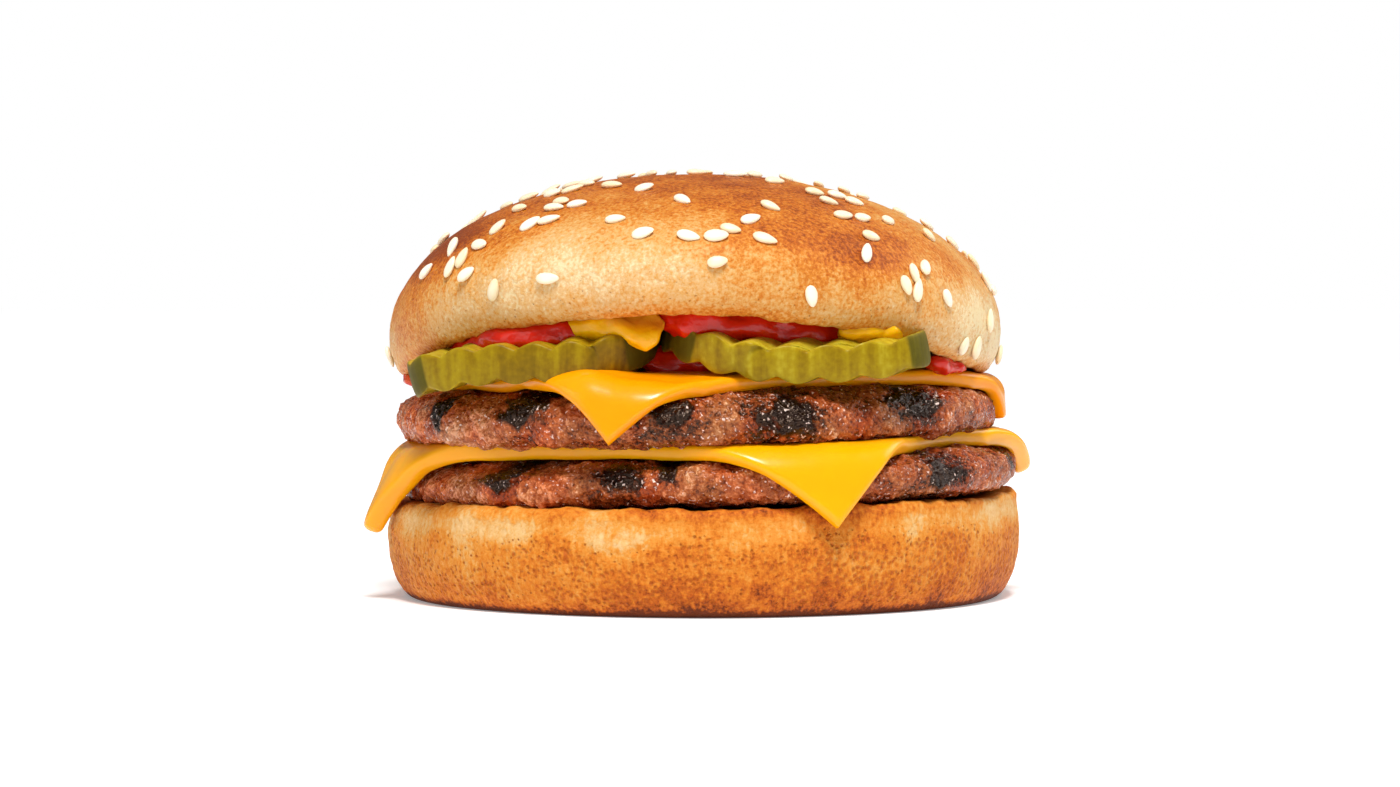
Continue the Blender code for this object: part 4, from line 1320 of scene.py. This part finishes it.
@dataclass
class Studio:
    """A white floor, soft light from all round, and a camera low in front of the burger."""
    target: Vector = Vector((-0.5, 0.0, 31.9)) * MM
    distance: float = 600.0 * MM
    elevation: float = 1.42
    lens: float = 97.0
    floor_size: float = 30.0
    glow: float = 0.225
    sky_light: float = 0.22
    sun_from: Vector = Vector((0.03, -0.5, 1.0))
    sun_power: float = 2.5
    sun_spread: float = 16.0
    sensor: float = 36.0
    nearest: float = 10.0 * MM

    def build(self) -> None:
        """Lay the floor, hang the lights and set up the camera."""
        self.lay_floor()
        self.light_world()
        self.hang("key", (0.08, -0.55, 0.85), 0.2, 3.6)
        self.hang("side", (-0.75, -0.4, 0.4), 0.5, 1.1)
        self.hang("rim", (0.6, 0.3, 0.45), 0.4, 1.5)
        sun = bpy.data.lights.new("overhead", "SUN")
        sun.energy = self.sun_power
        sun.angle = math.radians(self.sun_spread)
        lamp = bpy.data.objects.new("overhead", sun)
        lamp.rotation_euler = self.sun_from.to_track_quat("Z", "Y").to_euler()
        bpy.context.scene.collection.objects.link(lamp)
        self.place_camera()

    def lay_floor(self) -> None:
        """A plain white floor under the burger."""
        half = self.floor_size / 2.0
        mesh = bpy.data.meshes.new("floor")
        mesh.from_pydata([(-half, -half, 0.0), (half, -half, 0.0), (half, half, 0.0), (-half, half, 0.0)], [],
                         [(0, 1, 2, 3)])
        floor = bpy.data.objects.new("floor", mesh)
        material = blank("white table")
        finish("white table", {"Base Color": "#f6f6f6", "Roughness": 0.7, "Emission Color": "#ffffff",
                               "Emission Strength": self.glow}, material.node_tree)
        mesh.materials.append(material)
        bpy.context.scene.collection.objects.link(floor)

    def light_world(self) -> None:
        """White all round, which lights the burger less than it shows."""
        world = bpy.data.worlds.new("studio")
        world.use_nodes = True
        tree = world.node_tree
        tree.nodes.clear()
        seen = add(tree, "LightPath", out="Is Camera Ray")
        strength = add(tree, "MapRange", {}, {"Value": seen, "To Min": self.sky_light, "To Max": 1.0})
        light = add(tree, "Background", {}, {"Color": "#ffffff", "Strength": strength})
        add(tree, "OutputWorld", {}, {"Surface": light})
        bpy.context.scene.world = world

    def hang(self, name: str, place: tuple[float, float, float], size: float, power: float) -> None:
        """Hang a square soft box aimed at the burger."""
        light = bpy.data.lights.new(name, "AREA")
        light.shape = "SQUARE"
        light.size = size
        light.energy = power
        lamp = bpy.data.objects.new(name, light)
        lamp.location = place
        lamp.rotation_euler = (Vector(place) - self.target).to_track_quat("Z", "Y").to_euler()
        bpy.context.scene.collection.objects.link(lamp)

    def place_camera(self) -> None:
        """Set the camera in front, level with the filling and looking very slightly down."""
        camera = bpy.data.objects.new("camera", bpy.data.cameras.new("camera"))
        camera.data.lens = self.lens
        camera.data.sensor_width = self.sensor
        camera.data.clip_start = self.nearest
        tip = math.radians(self.elevation)
        away = Vector((0.0, -math.cos(tip), math.sin(tip)))
        camera.location = self.target + away * self.distance
        camera.rotation_euler = away.to_track_quat("Z", "Y").to_euler()
        bpy.context.scene.collection.objects.link(camera)
        bpy.context.scene.camera = camera
        bpy.context.scene.view_settings.view_transform = "Standard"


def main() -> None:
    """Build the burger from the heel up, then the studio."""
    logging.basicConfig(level=logging.INFO, format="%(name)s %(message)s")
    Heel().build()
    Patty(node="patty_lower", half=3.7 * MM, sag=0.2 * MM, slope=0.0, phase=0.4, tilt=0.9 * MM, grow=1.2 * MM,
          shift=0.6 * MM, fuller=0.06, dip=1.8 * MM, seed=21, chars=(
              (-42.0, 0.2, 6.0, 1.0), (-17.0, 0.2, 4.5, 0.8), (-8.0, 0.5, 3.0, 0.5), (46.0, 0.25, 6.5, 0.9),
              (-88.0, 0.2, 10.0, 0.9), (78.0, 0.5, 5.0, 0.5), (120.0, 0.3, 6.0, 0.8),
              (152.0, 0.3, 6.0, 0.8), (-125.0, 0.2, 6.0, 0.8), (-155.0, 0.3, 6.0, 0.8))).build()
    LOWER_SLICE.build()
    Patty(node="patty_upper", half=4.4 * MM, sag=0.9 * MM, slope=0.06, phase=2.1, tilt=0.8 * MM,
          grow=1.3 * MM, seed=41, chars=(
              (-57.0, 0.0, 5.0, 0.8), (-33.0, 0.2, 6.5, 0.95), (-5.0, 0.2, 6.5, 0.9), (16.0, 0.0, 7.0, 1.0),
              (46.0, 0.45, 7.5, 0.7), (84.0, 0.3, 6.0, 0.6), (118.0, 0.3, 6.0, 0.8), (150.0, 0.2, 6.0, 0.8),
              (-110.0, 0.3, 6.0, 0.8), (-148.0, 0.2, 6.0, 0.8))).build()
    UPPER_SLICE.build()
    LEFT_CHIP.build()
    RIGHT_CHIP.build()
    # Azimuth, reach, half sizes along, in and up, height of the middle, tilt, seed, where the second colour
    # starts (mixing, and painted shade on the mustard) and drip.
    for node, slot, azimuth, reach, half, height, tilt, seed, mixed_from, drip in (
            ("ketchup_left", Slot.KETCHUP, -43.0, 42.6, (13.5, 4.5, 3.2), 40.5, -7.0, 1, 2.0, 0.0),
            ("ketchup_right", Slot.KETCHUP, 13.0, 37.6, (16.0, 4.8, 3.0), 42.3, 5.0, 2, 2.0, 0.0),
            ("ketchup_middle", Slot.KETCHUP, -2.0, 33.5, (9.0, 3.5, 2.8), 37.6, 0.0, 3, 2.0, 0.0),
            ("mustard_left", Slot.MUSTARD, -23.5, 39.9, (10.6, 4.2, 2.6), 42.8, -1.0, 4, 0.9, 2.2),
            ("mustard_right", Slot.MUSTARD, 38.0, 42.3, (7.6, 4.0, 2.2), 41.9, 4.0, 5, 1.3, 0.0),
            ("ketchup_drop_right", Slot.KETCHUP, 60.0, 43.2, (5.0, 2.6, 1.5), 36.7, 6.0, 6, 2.0, 0.0),
            ("ketchup_drop_left", Slot.KETCHUP, -82.0, 46.2, (3.0, 1.6, 1.5), 34.4, 0.0, 7, 0.2, 0.0)):
        SauceDrop(node, slot, azimuth, reach * MM, tuple(part * MM for part in half), height * MM,
                  tilt=tilt, seed=seed, mixed_from=mixed_from, drip=drip * MM).build()
    skin = Crown().build()
    SesameSeeds().build(skin)
    Studio().build()


if __name__ == "__main__":
    main()
